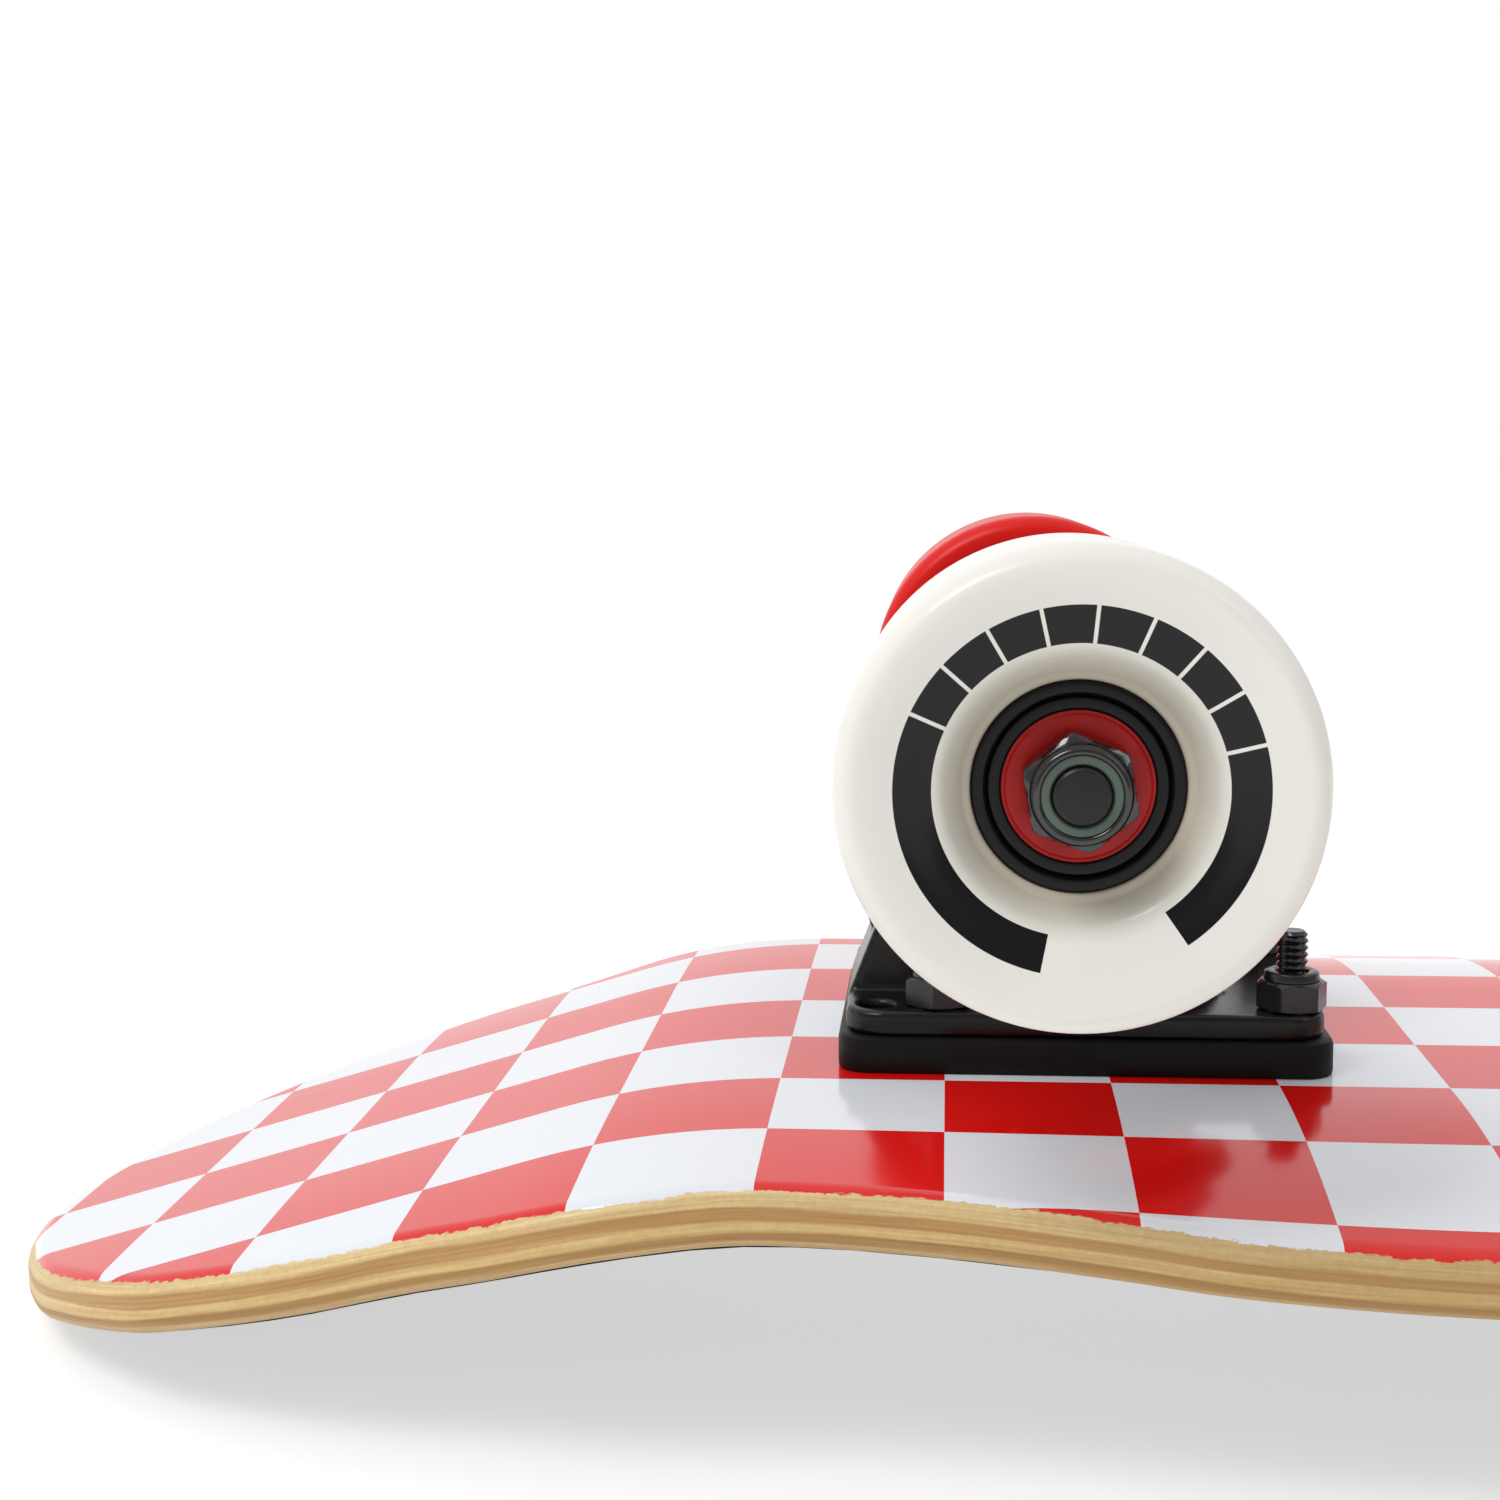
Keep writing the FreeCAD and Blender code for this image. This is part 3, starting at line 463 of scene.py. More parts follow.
def metal(name, colour, rough, stretch=(1, 1, 1), grain=1500.0):
    """Turned or plated metal with fine tool marks."""
    paint = Paint(name, Metallic=1.0)
    marks = paint.noise(paint.place(stretch), grain, 3.0)
    broad = paint.noise(paint.place(), 120.0, 3.0)
    shade = tuple(c * 0.78 for c in colour)
    paint.set("Base Color", paint.mix(paint.span(broad, 0.3, 0.7), rgba(*shade), rgba(*colour)))
    paint.set("Roughness", paint.span(marks, 0.3, 0.7, rough * 0.75, rough * 1.3))
    paint.bump(marks, 0.08, 0.0001)
    return paint.material


# The printed squares: their size, a corner that they are counted from, and their colours with a faded
# shade of each. The print ends a little inside the deck's edge.
CHECK_X, CHECK_Y = 25.0, 24.97
CHECK_FROM_X, CHECK_FROM_Y = -257.0, -55.7
RED, RED_FADED = (220, 19, 13), (211, 16, 13)
WHITE, WHITE_FADED = (226, 229, 234), (222, 226, 233)
PRINT_RIM = 1.2

# Light and dark plies, from the printed face to the grip tape.
PLIES = [
    (0.0, (240, 220, 170)),
    (0.26, (238, 212, 158)),
    (0.31, (196, 154, 92)),
    (0.45, (204, 162, 100)),
    (0.49, (238, 208, 148)),
    (0.62, (232, 202, 140)),
    (0.67, (178, 136, 76)),
    (0.8, (190, 148, 86)),
    (0.84, (214, 184, 130)),
    (1.0, (188, 158, 106)),
]


def checker(paint, where):
    """The printed squares' colour."""
    x, y, _ = paint.parts(where)
    squares = []
    for value, start, step in ((x, CHECK_FROM_X, CHECK_X), (y, CHECK_FROM_Y, CHECK_Y)):
        squares.append(paint.math("FLOOR", paint.math("DIVIDE", paint.math("SUBTRACT", value, start), step)))
    odd = paint.math("FLOORED_MODULO", paint.math("ADD", *squares), 2.0)
    tint = paint.noise(where, 0.02, 3.0)
    red = paint.mix(tint, rgba(*RED), rgba(*RED_FADED))
    white = paint.mix(tint, rgba(*WHITE), rgba(*WHITE_FADED))
    return paint.mix(odd, white, red)


def maple(paint, where, depth):
    """The plies' colour and the wood's grain, which runs along the board."""
    x, y, _ = paint.parts(where)
    waver = paint.noise(paint.along(x, y, depth, 0.014, 0.3), 1.0, 4.0)
    grain = paint.noise(paint.along(x, y, depth, 0.035, 2.4), 1.0, 6.0, 0.65)
    pores = paint.noise(paint.along(x, y, depth, 0.16, 8.0), 1.0, 3.0, 0.7)
    level = paint.math("ADD", depth, paint.span(waver, 0.25, 0.75, -0.7, 0.7))
    stops = [(spot, linear(*colour)) for spot, colour in PLIES]
    plies = paint.ramp(paint.math("DIVIDE", level, DECK_THICK), stops)
    streaks = paint.mix(paint.span(grain, 0.3, 0.72), rgba(176, 146, 100), rgba(255, 252, 240))
    streaked = paint.node("ShaderNodeMix", data_type="RGBA", blend_type="MULTIPLY")
    streaked.inputs[0].default_value = 0.62
    paint.feed(streaked.inputs[6], plies)
    paint.feed(streaked.inputs[7], streaks)
    speck = paint.span(pores, 0.6, 0.78)
    mottle = paint.noise(paint.place(), 900.0, 3.0, 0.7)
    wood = paint.mix(paint.math("MULTIPLY", speck, 0.45), streaked.outputs[2], rgba(122, 86, 44))
    wood = paint.mix(paint.span(mottle, 0.35, 0.75, 0.0, 0.3), wood, rgba(164, 126, 68))
    # The edge is painted darker and browner between the trucks than at the tips: painted shade.
    inboard_shade = paint.span(paint.math("ABSOLUTE", x), 270.0, 150.0, 0.0, 0.42)
    return paint.mix(inboard_shade, wood, rgba(148, 110, 54)), grain


def deck_material():
    """A glossy printed face on bare maple plies."""
    paint = Paint("checker_and_maple")
    where = paint.place((1 / MM, 1 / MM, 1 / MM))
    depth = paint.attribute("depth", "Fac")
    print_colour = checker(paint, where)
    wood, grain = maple(paint, where, depth)

    # The print stops at a chipped line a little inside the edge.
    rim = paint.attribute("rim", "Fac")
    chips = paint.noise(paint.place((0.45, 1.0, 1.0)), 900.0, 4.0, 0.8)
    long_chips = paint.noise(paint.place((0.35, 1.0, 1.0)), 90.0, 3.0)
    small = paint.span(chips, 0.3, 0.7, -0.3, 0.3)
    large = paint.span(long_chips, 0.3, 0.7, -0.25, 0.25)
    edge = paint.math("SUBTRACT", paint.math("ADD", rim, paint.math("ADD", small, large)), PRINT_RIM)
    printed = paint.math("MULTIPLY", paint.span(edge, -0.06, 0.06), paint.span(depth, 2.4, 2.0))
    paint.set("Base Color", paint.mix(printed, wood, print_colour))
    orange_peel = paint.noise(paint.place(), 220.0, 2.0)
    paint.set("Roughness", paint.span(printed, 0.0, 1.0, 0.46, 0.13))
    height = paint.math("ADD", paint.math("MULTIPLY", printed, 0.6), paint.math("MULTIPLY", grain, 0.35))
    height = paint.math("ADD", height, paint.math("MULTIPLY", orange_peel, 0.02))
    paint.bump(height, 0.35, 0.0002)
    paint.set("IOR", 1.52)
    return paint.material


# The wheel's printed band: its radii, the angles where it is open at the bottom, the spokes of wheel
# colour that cut it, and how far out on the wheel it is. SCOOP is where the face is painted darker
# towards its middle, as painted shade in the dished face.
BAND_IN, BAND_OUT = 17.6, 22.2
BAND_OPEN_FROM, BAND_OPEN = 258.0, 47.0
BAND_FACE = 12.0
SPOKES = [15 + 17.5 * number for number in range(9)]
SPOKE_HALF, SPOKE_FADE = 0.2, 0.27
SCOOP_OUT, SCOOP_IN = 18.5, 13.0
INK_FADE = 0.03


def urethane(name, colour, scoop_shade, shine, rough):
    """Cast urethane with a plain black band printed on the wheel's outer face."""
    paint = Paint(
        name,
        Subsurface_Weight=0.1,
        Subsurface_Radius=(0.004, 0.003, 0.002),
        Subsurface_Scale=1.0,
        Specular_IOR_Level=shine,
    )
    across, up, out = paint.parts(paint.attribute("spot"))
    squares = [paint.math("MULTIPLY", value, value) for value in (across, up)]
    radius = paint.math("SQRT", paint.math("ADD", *squares))
    angle = paint.math("DEGREES", paint.math("ARCTAN2", up, across))
    cloud = paint.noise(paint.place(), 60.0, 3.0)
    body = paint.mix(paint.span(cloud, 0.3, 0.7), rgba(*colour), rgba(*(c * 0.985 for c in colour)))
    # Painted shade: the dished middle of the face darkens towards the core.
    body = paint.mix(paint.span(radius, SCOOP_OUT, SCOOP_IN), body, rgba(*scoop_shade))
    inner = paint.span(radius, BAND_IN - INK_FADE, BAND_IN + INK_FADE)
    outer = paint.span(radius, BAND_OUT + INK_FADE, BAND_OUT - INK_FADE)
    band = paint.math("MULTIPLY", inner, outer)
    band = paint.math("MULTIPLY", band, paint.math("GREATER_THAN", out, BAND_FACE))
    past = paint.math("FLOORED_MODULO", paint.math("SUBTRACT", angle, BAND_OPEN_FROM), 360.0)
    band = paint.math("MULTIPLY", band, paint.math("GREATER_THAN", past, BAND_OPEN))
    for spoke in SPOKES:
        away = paint.math("ABSOLUTE", paint.math("SUBTRACT", angle, spoke))
        arc = paint.math("MULTIPLY", paint.math("RADIANS", away), radius)
        band = paint.math("MULTIPLY", band, paint.span(arc, SPOKE_HALF, SPOKE_FADE))
    paint.set("Base Color", paint.mix(band, body, rgba(10, 10, 12)))
    paint.set("Roughness", paint.span(cloud, 0.3, 0.7, rough * 0.85, rough * 1.15))
    paint.bump(paint.noise(paint.place(), 300.0, 2.0), 0.03, 0.0002)
    return paint.material


def shield_material():
    """Red rubber seals, slightly uneven."""
    paint = Paint("red_bearing_seal", Specular_IOR_Level=0.3)
    where = paint.place()
    broad = paint.noise(where, 150.0, 4.0)
    paint.set("Base Color", paint.mix(paint.span(broad, 0.3, 0.7), rgba(178, 14, 9), rgba(150, 9, 7)))
    paint.set("Roughness", paint.span(broad, 0.3, 0.7, 0.3, 0.42))
    paint.bump(paint.noise(where, 900.0, 3.0), 0.2, 0.0001)
    return paint.material


def grit_material():
    """Black grit with a few grains painted lighter as painted glints, a little worn in broad patches."""
    paint = Paint("grip_tape_grit")
    where = paint.place()
    grit = paint.noise(where, 1900.0, 2.0, 0.8)
    glint = paint.noise(where, 2600.0, 1.0, 0.9)
    worn = paint.noise(where, 9.0, 3.0)
    dark = paint.mix(paint.span(worn, 0.35, 0.7), rgba(24, 24, 25), rgba(34, 34, 35))
    # The lighter grains are painted glints; the lower roughness below is the grit's own.
    paint.set("Base Color", paint.mix(paint.span(glint, 0.66, 0.76), dark, rgba(92, 92, 96)))
    paint.set("Roughness", paint.span(glint, 0.6, 0.75, 0.92, 0.45))
    paint.bump(grit, 0.9, 0.0006)
    return paint.material


LOOKS = {
    "riser": moulded("riser_rubber", (13, 12, 12), 0.46, 700.0, 0.25, Specular_IOR_Level=0.16),
    "truck_black": moulded("satin_black_casting", (11, 11, 11), 0.26, 420.0, 0.22, Specular_IOR_Level=0.28),
    "pivot_cup": moulded("pivot_cup_rubber", (30, 30, 32), 0.6),
    "black_hardware": moulded("black_oxide", (11, 11, 12), 0.26, 1200.0, 0.12, Specular_IOR_Level=0.55),
    "bushing_washer": moulded("black_washers", (18, 18, 19), 0.32, 1200.0, 0.1, Specular_IOR_Level=0.5),
    "bushing": moulded("bushing_urethane", (186, 24, 18), 0.34, 600.0, 0.1),
    "axle_steel": moulded("blackened_steel", (20, 20, 19), 0.4, 1400.0, 0.14, Specular_IOR_Level=0.35),
    "bearing_steel": metal("bearing_steel", (196, 198, 202), 0.22),
    "bearing_race": moulded("black_race", (8, 6, 9), 0.34, 1200.0, 0.08, Specular_IOR_Level=0.25),
    "axle_nut": moulded("black_nut", (9, 9, 10), 0.14, 1200.0, 0.08, Specular_IOR_Level=0.8),
    "nylon_insert": moulded("nylon_ring", (66, 80, 70), 0.3, 800.0, 0.15),
    "wheel_core": moulded("core_plastic", (8, 6, 9), 0.36, 800.0, 0.1, Specular_IOR_Level=0.25),
    "bearing_shield": shield_material(),
    "grip_tape": grit_material(),
    "maple_deck": deck_material(),
    # Each wheel's third colour is the painted shade of its dished face.
    "white_urethane": urethane("white_urethane", (232, 230, 223), (186, 177, 158), 0.3, 0.2),
    "red_urethane": urethane("red_urethane", (216, 14, 7), (176, 10, 8), 0.25, 0.36),
}
WHITE_WHEELS = ("tail_left", "nose_left")

# ---------------------------------------------------------------- the deck

# The kicks: where each bend starts, its radius and its slope. The deck is flat across its middle, and
# its sides drop by DISH times the square of the distance beyond, more so between the trucks.
KICK_AT = AXLE_X + 39.0
KICK_BEND = 126.0
KICK_SLOPE = math.radians(16.9)
FLAT_HALF = 35.0
DISH_AT_TRUCKS, DISH_BETWEEN_MORE = 0.0007, 0.0015
DISH_FROM, DISH_BLEND = AXLE_X + 40, 100

# The plan outline from the tip to the straight side: distance from the tip and half width.
OUTLINE = [
    (0, 0),
    (2.6, 15),
    (8.6, 29.2),
    (17.6, 43.2),
    (36, 59.8),
    (49, 66.4),
    (66, 72.2),
    (81, 75.2),
    (97, 79.6),
    (112, 80.6),
    (131, 79.2),
    (156, 81),
    (176, 83.9),
    (193, 86.4),
    (224, 87.6),
    (264, 88.2),
]


def deck_drop(x, y):
    """How far the printed face has dropped below its flat middle."""
    reach = abs(x) - KICK_AT
    bend_reach = KICK_BEND * math.sin(KICK_SLOPE)
    drop = 0.0
    if reach > bend_reach:
        drop = KICK_BEND * (1 - math.cos(KICK_SLOPE)) + (reach - bend_reach) * math.tan(KICK_SLOPE)
    elif reach > 0:
        drop = KICK_BEND - math.sqrt(KICK_BEND**2 - reach**2)
    beyond = abs(y) - FLAT_HALF
    if beyond > 0:
        share = min(max((DISH_FROM - abs(x)) / DISH_BLEND, 0.0), 1.0)
        share = share * share * (3 - 2 * share)
        drop += (DISH_AT_TRUCKS + DISH_BETWEEN_MORE * share) * beyond * beyond
    return drop


def outline_quarter(steps=9):
    """Smooth plan points from the tip to the straight side, in x and half width."""
    corners = [(HALF_LENGTH - inward, half) for inward, half in OUTLINE]
    spread = [(corners[1][0], -corners[1][1])] + corners + [(corners[-1][0] - 40, corners[-1][1])]
    points = []
    for a, b, c, d in zip(spread, spread[1:], spread[2:], spread[3:]):
        a, b, c, d = Vector(a), Vector(b), Vector(c), Vector(d)
        span = (c - b).length
        into = (c - a) / (c - a).length * span
        away = (d - b) / (d - b).length * span
        for step in range(steps):
            t = step / steps
            points.append(
                b * (2 * t**3 - 3 * t**2 + 1)
                + into * (t**3 - 2 * t**2 + t)
                + c * (3 * t**2 - 2 * t**3)
                + away * (t**3 - t**2)
            )
    points.append(Vector(corners[-1]))
    return points


def deck_outline(side_steps=40):
    """The whole outline, once round, anticlockwise from the nose's tip."""
    quarter = outline_quarter()
    side_x, half_width = quarter[-1]
    side = [
        Vector((side_x - 2 * side_x * step / side_steps, half_width)) for step in range(1, side_steps)
    ]
    upper = quarter + side + [Vector((-p.x, p.y)) for p in reversed(quarter)]
    lower = [Vector((p.x, -p.y)) for p in reversed(upper[1:-1])]
    return upper + lower


def edge_distance(spots, outline):
    """How far each plan point is inside the outline."""
    ring = np.array([tuple(p) for p in outline])
    start, end = ring, np.roll(ring, -1, axis=0)
    run = end - start
    length = (run**2).sum(1)
    result = np.empty(len(spots))
    for low in range(0, len(spots), 2000):
        part = spots[low : low + 2000, None, :] - start[None]
        share = np.clip((part * run[None]).sum(2) / length[None], 0, 1)
        away = part - share[..., None] * run[None]
        result[low : low + 2000] = np.sqrt((away**2).sum(2).min(1))
    return result


# A truck is placed over its axle, on the printed face. Its bolts stand in two pairs.
PLATE_SHIFT, HOLE_HALF = 5.33, 20.64
BOLT_REACH = (-22.2, 31.75)


def truck_place(end):
    """The truck's own frame: the nose's truck is the tail's turned half round."""
    turn = 0.0 if end == "tail" else math.pi
    across = middle(end + "_axle").x
    return Matrix.Translation((across, 0, PRINT_Z)) @ Matrix.Rotation(turn, 4, "Z")


def bolt_spots(end):
    """Where the truck's four bolts stand."""
    return [
        truck_place(end) @ Vector((PLATE_SHIFT + reach, side * HOLE_HALF, 0))
        for reach in BOLT_REACH
        for side in (-1, 1)
    ]



EDGE_RADIUS = 3.0
EDGE_BAND = 3.8
FACE_STEPS = 22
SPINE_SHARE = 0.88
BOLT_SINK = [
    (0.0, GRIP_Z - 0.4),
    (5.0, GRIP_Z - 0.4),
    (4.9, GRIP_Z),
    (2.7, GRIP_Z + 2.6),
    (2.7, PRINT_Z + 1.0),
    (0.0, PRINT_Z + 1.0),
]


def deck_rings():
    """Rings from the middle of the printed face, over the edge, to the middle of the grip side.

    Each is its kind, its depth, and how far it is inside the outline or on the way to the spine.
    """
    edge = [(3.8, 0.0), (3.3, 0.0)]
    for step in range(9):
        turn = math.pi / 2 * step / 8
        edge.append((EDGE_RADIUS * (1 - math.sin(turn)), EDGE_RADIUS * (1 - math.cos(turn))))
    for step in range(1, 7):
        edge.append((0.0, EDGE_RADIUS + (DECK_THICK - EDGE_RADIUS - EDGE_RADIUS) * step / 6))
    for step in range(1, 7):
        turn = math.pi / 2 * step / 6
        edge.append((EDGE_RADIUS * (1 - math.cos(turn)), DECK_THICK - EDGE_RADIUS * (1 - math.sin(turn))))
    edge.append((3.4, DECK_THICK))
    shares = [step / FACE_STEPS for step in range(1, FACE_STEPS + 1)]
    rings = [("face", share, 0.0) for share in reversed(shares)]
    rings += [("edge", inset, depth) for inset, depth in edge]
    rings += [("face", share, DECK_THICK) for share in shares]
    return rings


def deck_shell(outline):
    """The whole deck: its two faces close along the spine, where the sides' rings meet."""
    count = len(outline)
    inward = []
    for number, point in enumerate(outline):
        along = outline[(number + 1) % count] - outline[number - 1]
        inward.append(Vector((-along.y, along.x)).normalized())
    rings = deck_rings()
    points, faces = [], []
    for kind, amount, depth in rings:
        for point, normal in zip(outline, inward):
            if kind == "edge":
                spot = point + normal * amount
            else:
                start = point + normal * EDGE_BAND
                spot = start.lerp(Vector((point.x * SPINE_SHARE, 0.0)), amount)
            points.append(Vector((spot.x, spot.y, PRINT_Z - deck_drop(spot.x, spot.y) - depth)) * MM)
    for ring in range(len(rings) - 1):
        for step in range(count):
            a = ring * count + step
            b = ring * count + (step + 1) % count
            faces.append((a, a + count, b + count, b))
    return points, faces


def build_deck():
    """The printed deck with its bolt holes, and what its material reads at each point."""
    outline = deck_outline()
    mesh = welded("deck_shell", deck_shell(outline), 0.00001)
    mesh.shade_smooth()
    thing = add_piece("deck_board", mesh, None, "maple_deck", "deck")
    holes = []
    for end in ("tail", "nose"):
        for spot in bolt_spots(end):
            holes.append(moved(capped(lathe(BOLT_SINK, 48)), Matrix.Translation((spot.x, spot.y, 0))))
    cut(thing, join_shells(holes))
    mesh = thing.data
    spots = vertex_array(mesh)
    drops = np.array([deck_drop(x, y) for x, y, _ in spots])
    write_values(mesh, "depth", "FLOAT", np.clip(PRINT_Z - drops - spots[:, 2], 0, DECK_THICK))
    write_values(mesh, "rim", "FLOAT", edge_distance(spots[:, :2], outline))
    mesh.shade_smooth()
    mesh.set_sharp_from_angle(angle=math.radians(40))
    mesh.materials.clear()
    mesh.materials.append(LOOKS["maple_deck"])
    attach(thing, "board")


build_deck()
paint_node("grip_tape", "grip_tape")

# ---------------------------------------------------------------- riser, baseplate and bolts

RISER_LENGTH, RISER_WIDTH, RISER_HIGH, RISER_CORNER = 75.7, 55.1, 5.6, 5.0
RISER_LEVELS = [
    (0.5, 0.0),
    (0.12, 0.12),
    (0.0, 0.5),
    (0.0, RISER_HIGH - 0.9),
    (0.25, RISER_HIGH - 0.3),
    (0.8, RISER_HIGH),
]
PLATE_TOP = RISER_HIGH + 3.89
INCH_PITCH = 1.06

BOLT_DIA = 4.8
THREAD_FROM, BOLT_LENGTH = 9.0, 30.4
BOLT_HEAD = [
    (0.0, GRIP_Z),
    (4.45, GRIP_Z),
    (4.75, GRIP_Z + 0.25),
    (2.4, GRIP_Z + 2.8),
    (2.35, GRIP_Z + THREAD_FROM),
]
BOLT_NUT_FLATS = 9.53
BOLT_NUT_TURNS = (0.35, 0.9, 0.12, 0.55)
BOLT_NUT_COLLAR = [(2.5, 4.5), (4.3, 4.5), (4.05, 5.9), (3.2, 6.1), (2.45, 5.9), (2.45, 4.5)]


def build_riser(end):
    """A moulded pad with soft edges."""
    loops = []
    for inset, z in RISER_LEVELS:
        loop = rounded_rectangle(RISER_LENGTH - 2 * inset, RISER_WIDTH - 2 * inset, RISER_CORNER - inset)
        loops.append([(x + PLATE_SHIFT, y, z) for x, y in loop])
    shell = moved(stacked(loops), truck_place(end))
    add_shell(end + "_riser_moulding", shell, "board", "riser", end + "_riser_pad")


def build_baseplate(end):
    """The CAD baseplate with a casting's soft edges."""
    mesh = cast_copy(end + "_baseplate", 0.45, 6)
    add_piece(end + "_plate_casting", mesh, "board", "truck_black", end + "_baseplate")


def build_bolts(end):
    """Countersunk bolts from the grip side, with threaded ends."""
    shells = []
    for spot in bolt_spots(end):
        here = Matrix.Translation((spot.x, spot.y, 0))
        shells.append(moved(capped(lathe(BOLT_HEAD, 48)), here))
        thread = threaded(BOLT_DIA, GRIP_Z + THREAD_FROM, GRIP_Z + BOLT_LENGTH, INCH_PITCH, 0.7)
        shells.append(moved(thread, here))
    name = end + "_bolts_detailed"
    add_shell(name, join_shells(shells), "board", "black_hardware", end + "_mounting_bolts")


def build_bolt_nuts(end):
    """A lock nut on each bolt, each stopped at its own angle."""
    shells = []
    for turn, spot in zip(BOLT_NUT_TURNS, bolt_spots(end)):
        here = Matrix.Translation((spot.x, spot.y, PRINT_Z + PLATE_TOP))
        shells.append(moved(hex_nut(BOLT_NUT_FLATS, 4.6, BOLT_DIA, 0.8, turn), here))
        shells.append(turned(BOLT_NUT_COLLAR, 0.3, 64, here))
    add_shell(end + "_lock_nuts", join_shells(shells), "board", "black_hardware", end + "_mounting_nuts")


# ---------------------------------------------------------------- kingpin, bushings, hanger

# The kingpin leans, and its own frame stands in the middle of the hanger's ring.
RING = Vector((18.0, 0, 35.0))
LEAN = Matrix.Rotation(math.radians(18), 4, "Y")
RING_THICK, DECK_BUSH, ROAD_BUSH = 7.0, 12.0, 10.0
TOP_RISE = RING_THICK / 2 + ROAD_BUSH + 1.2

KINGPIN_DIA = 9.52
KINGPIN_HEAD_TOP = -(RING_THICK / 2 + DECK_BUSH + 1.5) - 6
KINGPIN = [
    (0.0, KINGPIN_HEAD_TOP - 5),
    (6.4, KINGPIN_HEAD_TOP - 5),
    (7.1, KINGPIN_HEAD_TOP - 4.4),
    (7.1, KINGPIN_HEAD_TOP),
    (KINGPIN_DIA / 2, KINGPIN_HEAD_TOP),
    (KINGPIN_DIA / 2, TOP_RISE - 2),
]
KINGPIN_NUT_FLATS = 14.29
KINGPIN_NUT_COLLAR = [(4.9, 6.1), (6.5, 6.1), (6.2, 7.2), (5.6, 7.5), (4.85, 7.3), (4.85, 6.1)]
BARREL = [
    (5.1, 0.4),
    (5.5, 0),
    (10.4, 0),
    (11.5, 3.2),
    (11.5, 8.8),
    (10.4, 12),
    (5.5, 12),
    (5.1, 11.6),
    (5.1, 0.4),
]
TAPER = [(5.1, 0.4), (5.5, 0), (10.6, 0), (11.5, 1.6), (9.1, 10), (5.5, 10), (5.1, 9.6), (5.1, 0.4)]


def on_kingpin(end, height):
    """The kingpin's frame, moved along it."""
    return truck_place(end) @ Matrix.Translation(RING) @ LEAN @ Matrix.Translation((0, 0, height))


def build_kingpin(end):
    """The kingpin, threaded at its end, and its lock nut."""
    here, top = on_kingpin(end, 0), on_kingpin(end, TOP_RISE)
    pin = [
        moved(capped(lathe(soften(KINGPIN, 0.4), 72)), here),
        moved(threaded(KINGPIN_DIA, TOP_RISE - 2.2, TOP_RISE + 8.7, INCH_PITCH, 0.9, 64), here),
    ]
    nut = [
        moved(hex_nut(KINGPIN_NUT_FLATS, 6.2, KINGPIN_DIA, 1.1, 0.3), top),
        turned(KINGPIN_NUT_COLLAR, 0.3, 72, top),
    ]
    add_shell(end + "_kingpin_bolt", join_shells(pin), "board", "black_hardware", end + "_kingpin")
    add_shell(end + "_kingpin_lock_nut", join_shells(nut), "board", "black_hardware", end + "_kingpin_nut")


def build_bushings(end):
    """Two soft bushings, each held by the board at its base and by the hanger's ring at its tip."""
    for word, outline, base, tip in (
        ("deck_side_bushing", BARREL, -RING_THICK / 2 - DECK_BUSH, -RING_THICK / 2),
        ("road_side_bushing", TAPER, RING_THICK / 2 + ROAD_BUSH, RING_THICK / 2),
    ):
        node = "%s_%s" % (end, word)
        shell = turned(outline, 0.7, 96, on_kingpin(end, min(base, tip)))
        piece = add_shell(node + "_cast", shell, None, "bushing", node)
        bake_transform(piece)


def build_hanger(end):
    """The CAD hanger with a casting's soft edges."""
    mesh = cast_copy(end + "_hanger", 0.5, 8)
    add_piece(end + "_hanger_casting", mesh, end + "_truck_hanger", "truck_black", end + "_hanger")


AXLE_HALF, AXLE_R = 101.6, 3.97
AXLE_THREAD_FROM = 84.0
AXLE_PLAIN = [(AXLE_R, 0.0), (AXLE_R, AXLE_THREAD_FROM)]
AXLE_TIP = [
    (3.7, AXLE_HALF - 1.3),
    (3.5, AXLE_HALF - 1.0),
    (3.45, AXLE_HALF - 0.35),
    (3.1, AXLE_HALF),
    (0, AXLE_HALF),
]
AXLE_NUT_FLATS = 12.7
NUT_SEAT = 93.8
NUT_TURN = math.radians(39)
AXLE_NUT_COLLAR = [(4.85, 4.9), (6.15, 4.9), (6.1, 6.2), (5.7, 7.3), (5.2, 7.5), (4.85, 7.3), (4.85, 4.9)]
NYLON_RING = [(3.6, 5.2), (3.6, 6.9), (3.85, 7.2), (4.75, 7.2), (4.9, 7.05), (4.9, 5.2)]


def axle_frame(end, side):
    """A frame on the axle: Z points out of the board's side, Y up and X to the right as seen from there."""
    base = Matrix.Translation((middle(end + "_axle").x, 0, AXLE_Z))
    turn = Matrix.Rotation(math.pi / 2, 4, "X")
    if side > 0:
        turn = Matrix.Rotation(math.pi, 4, "Z") @ turn
    return base @ turn


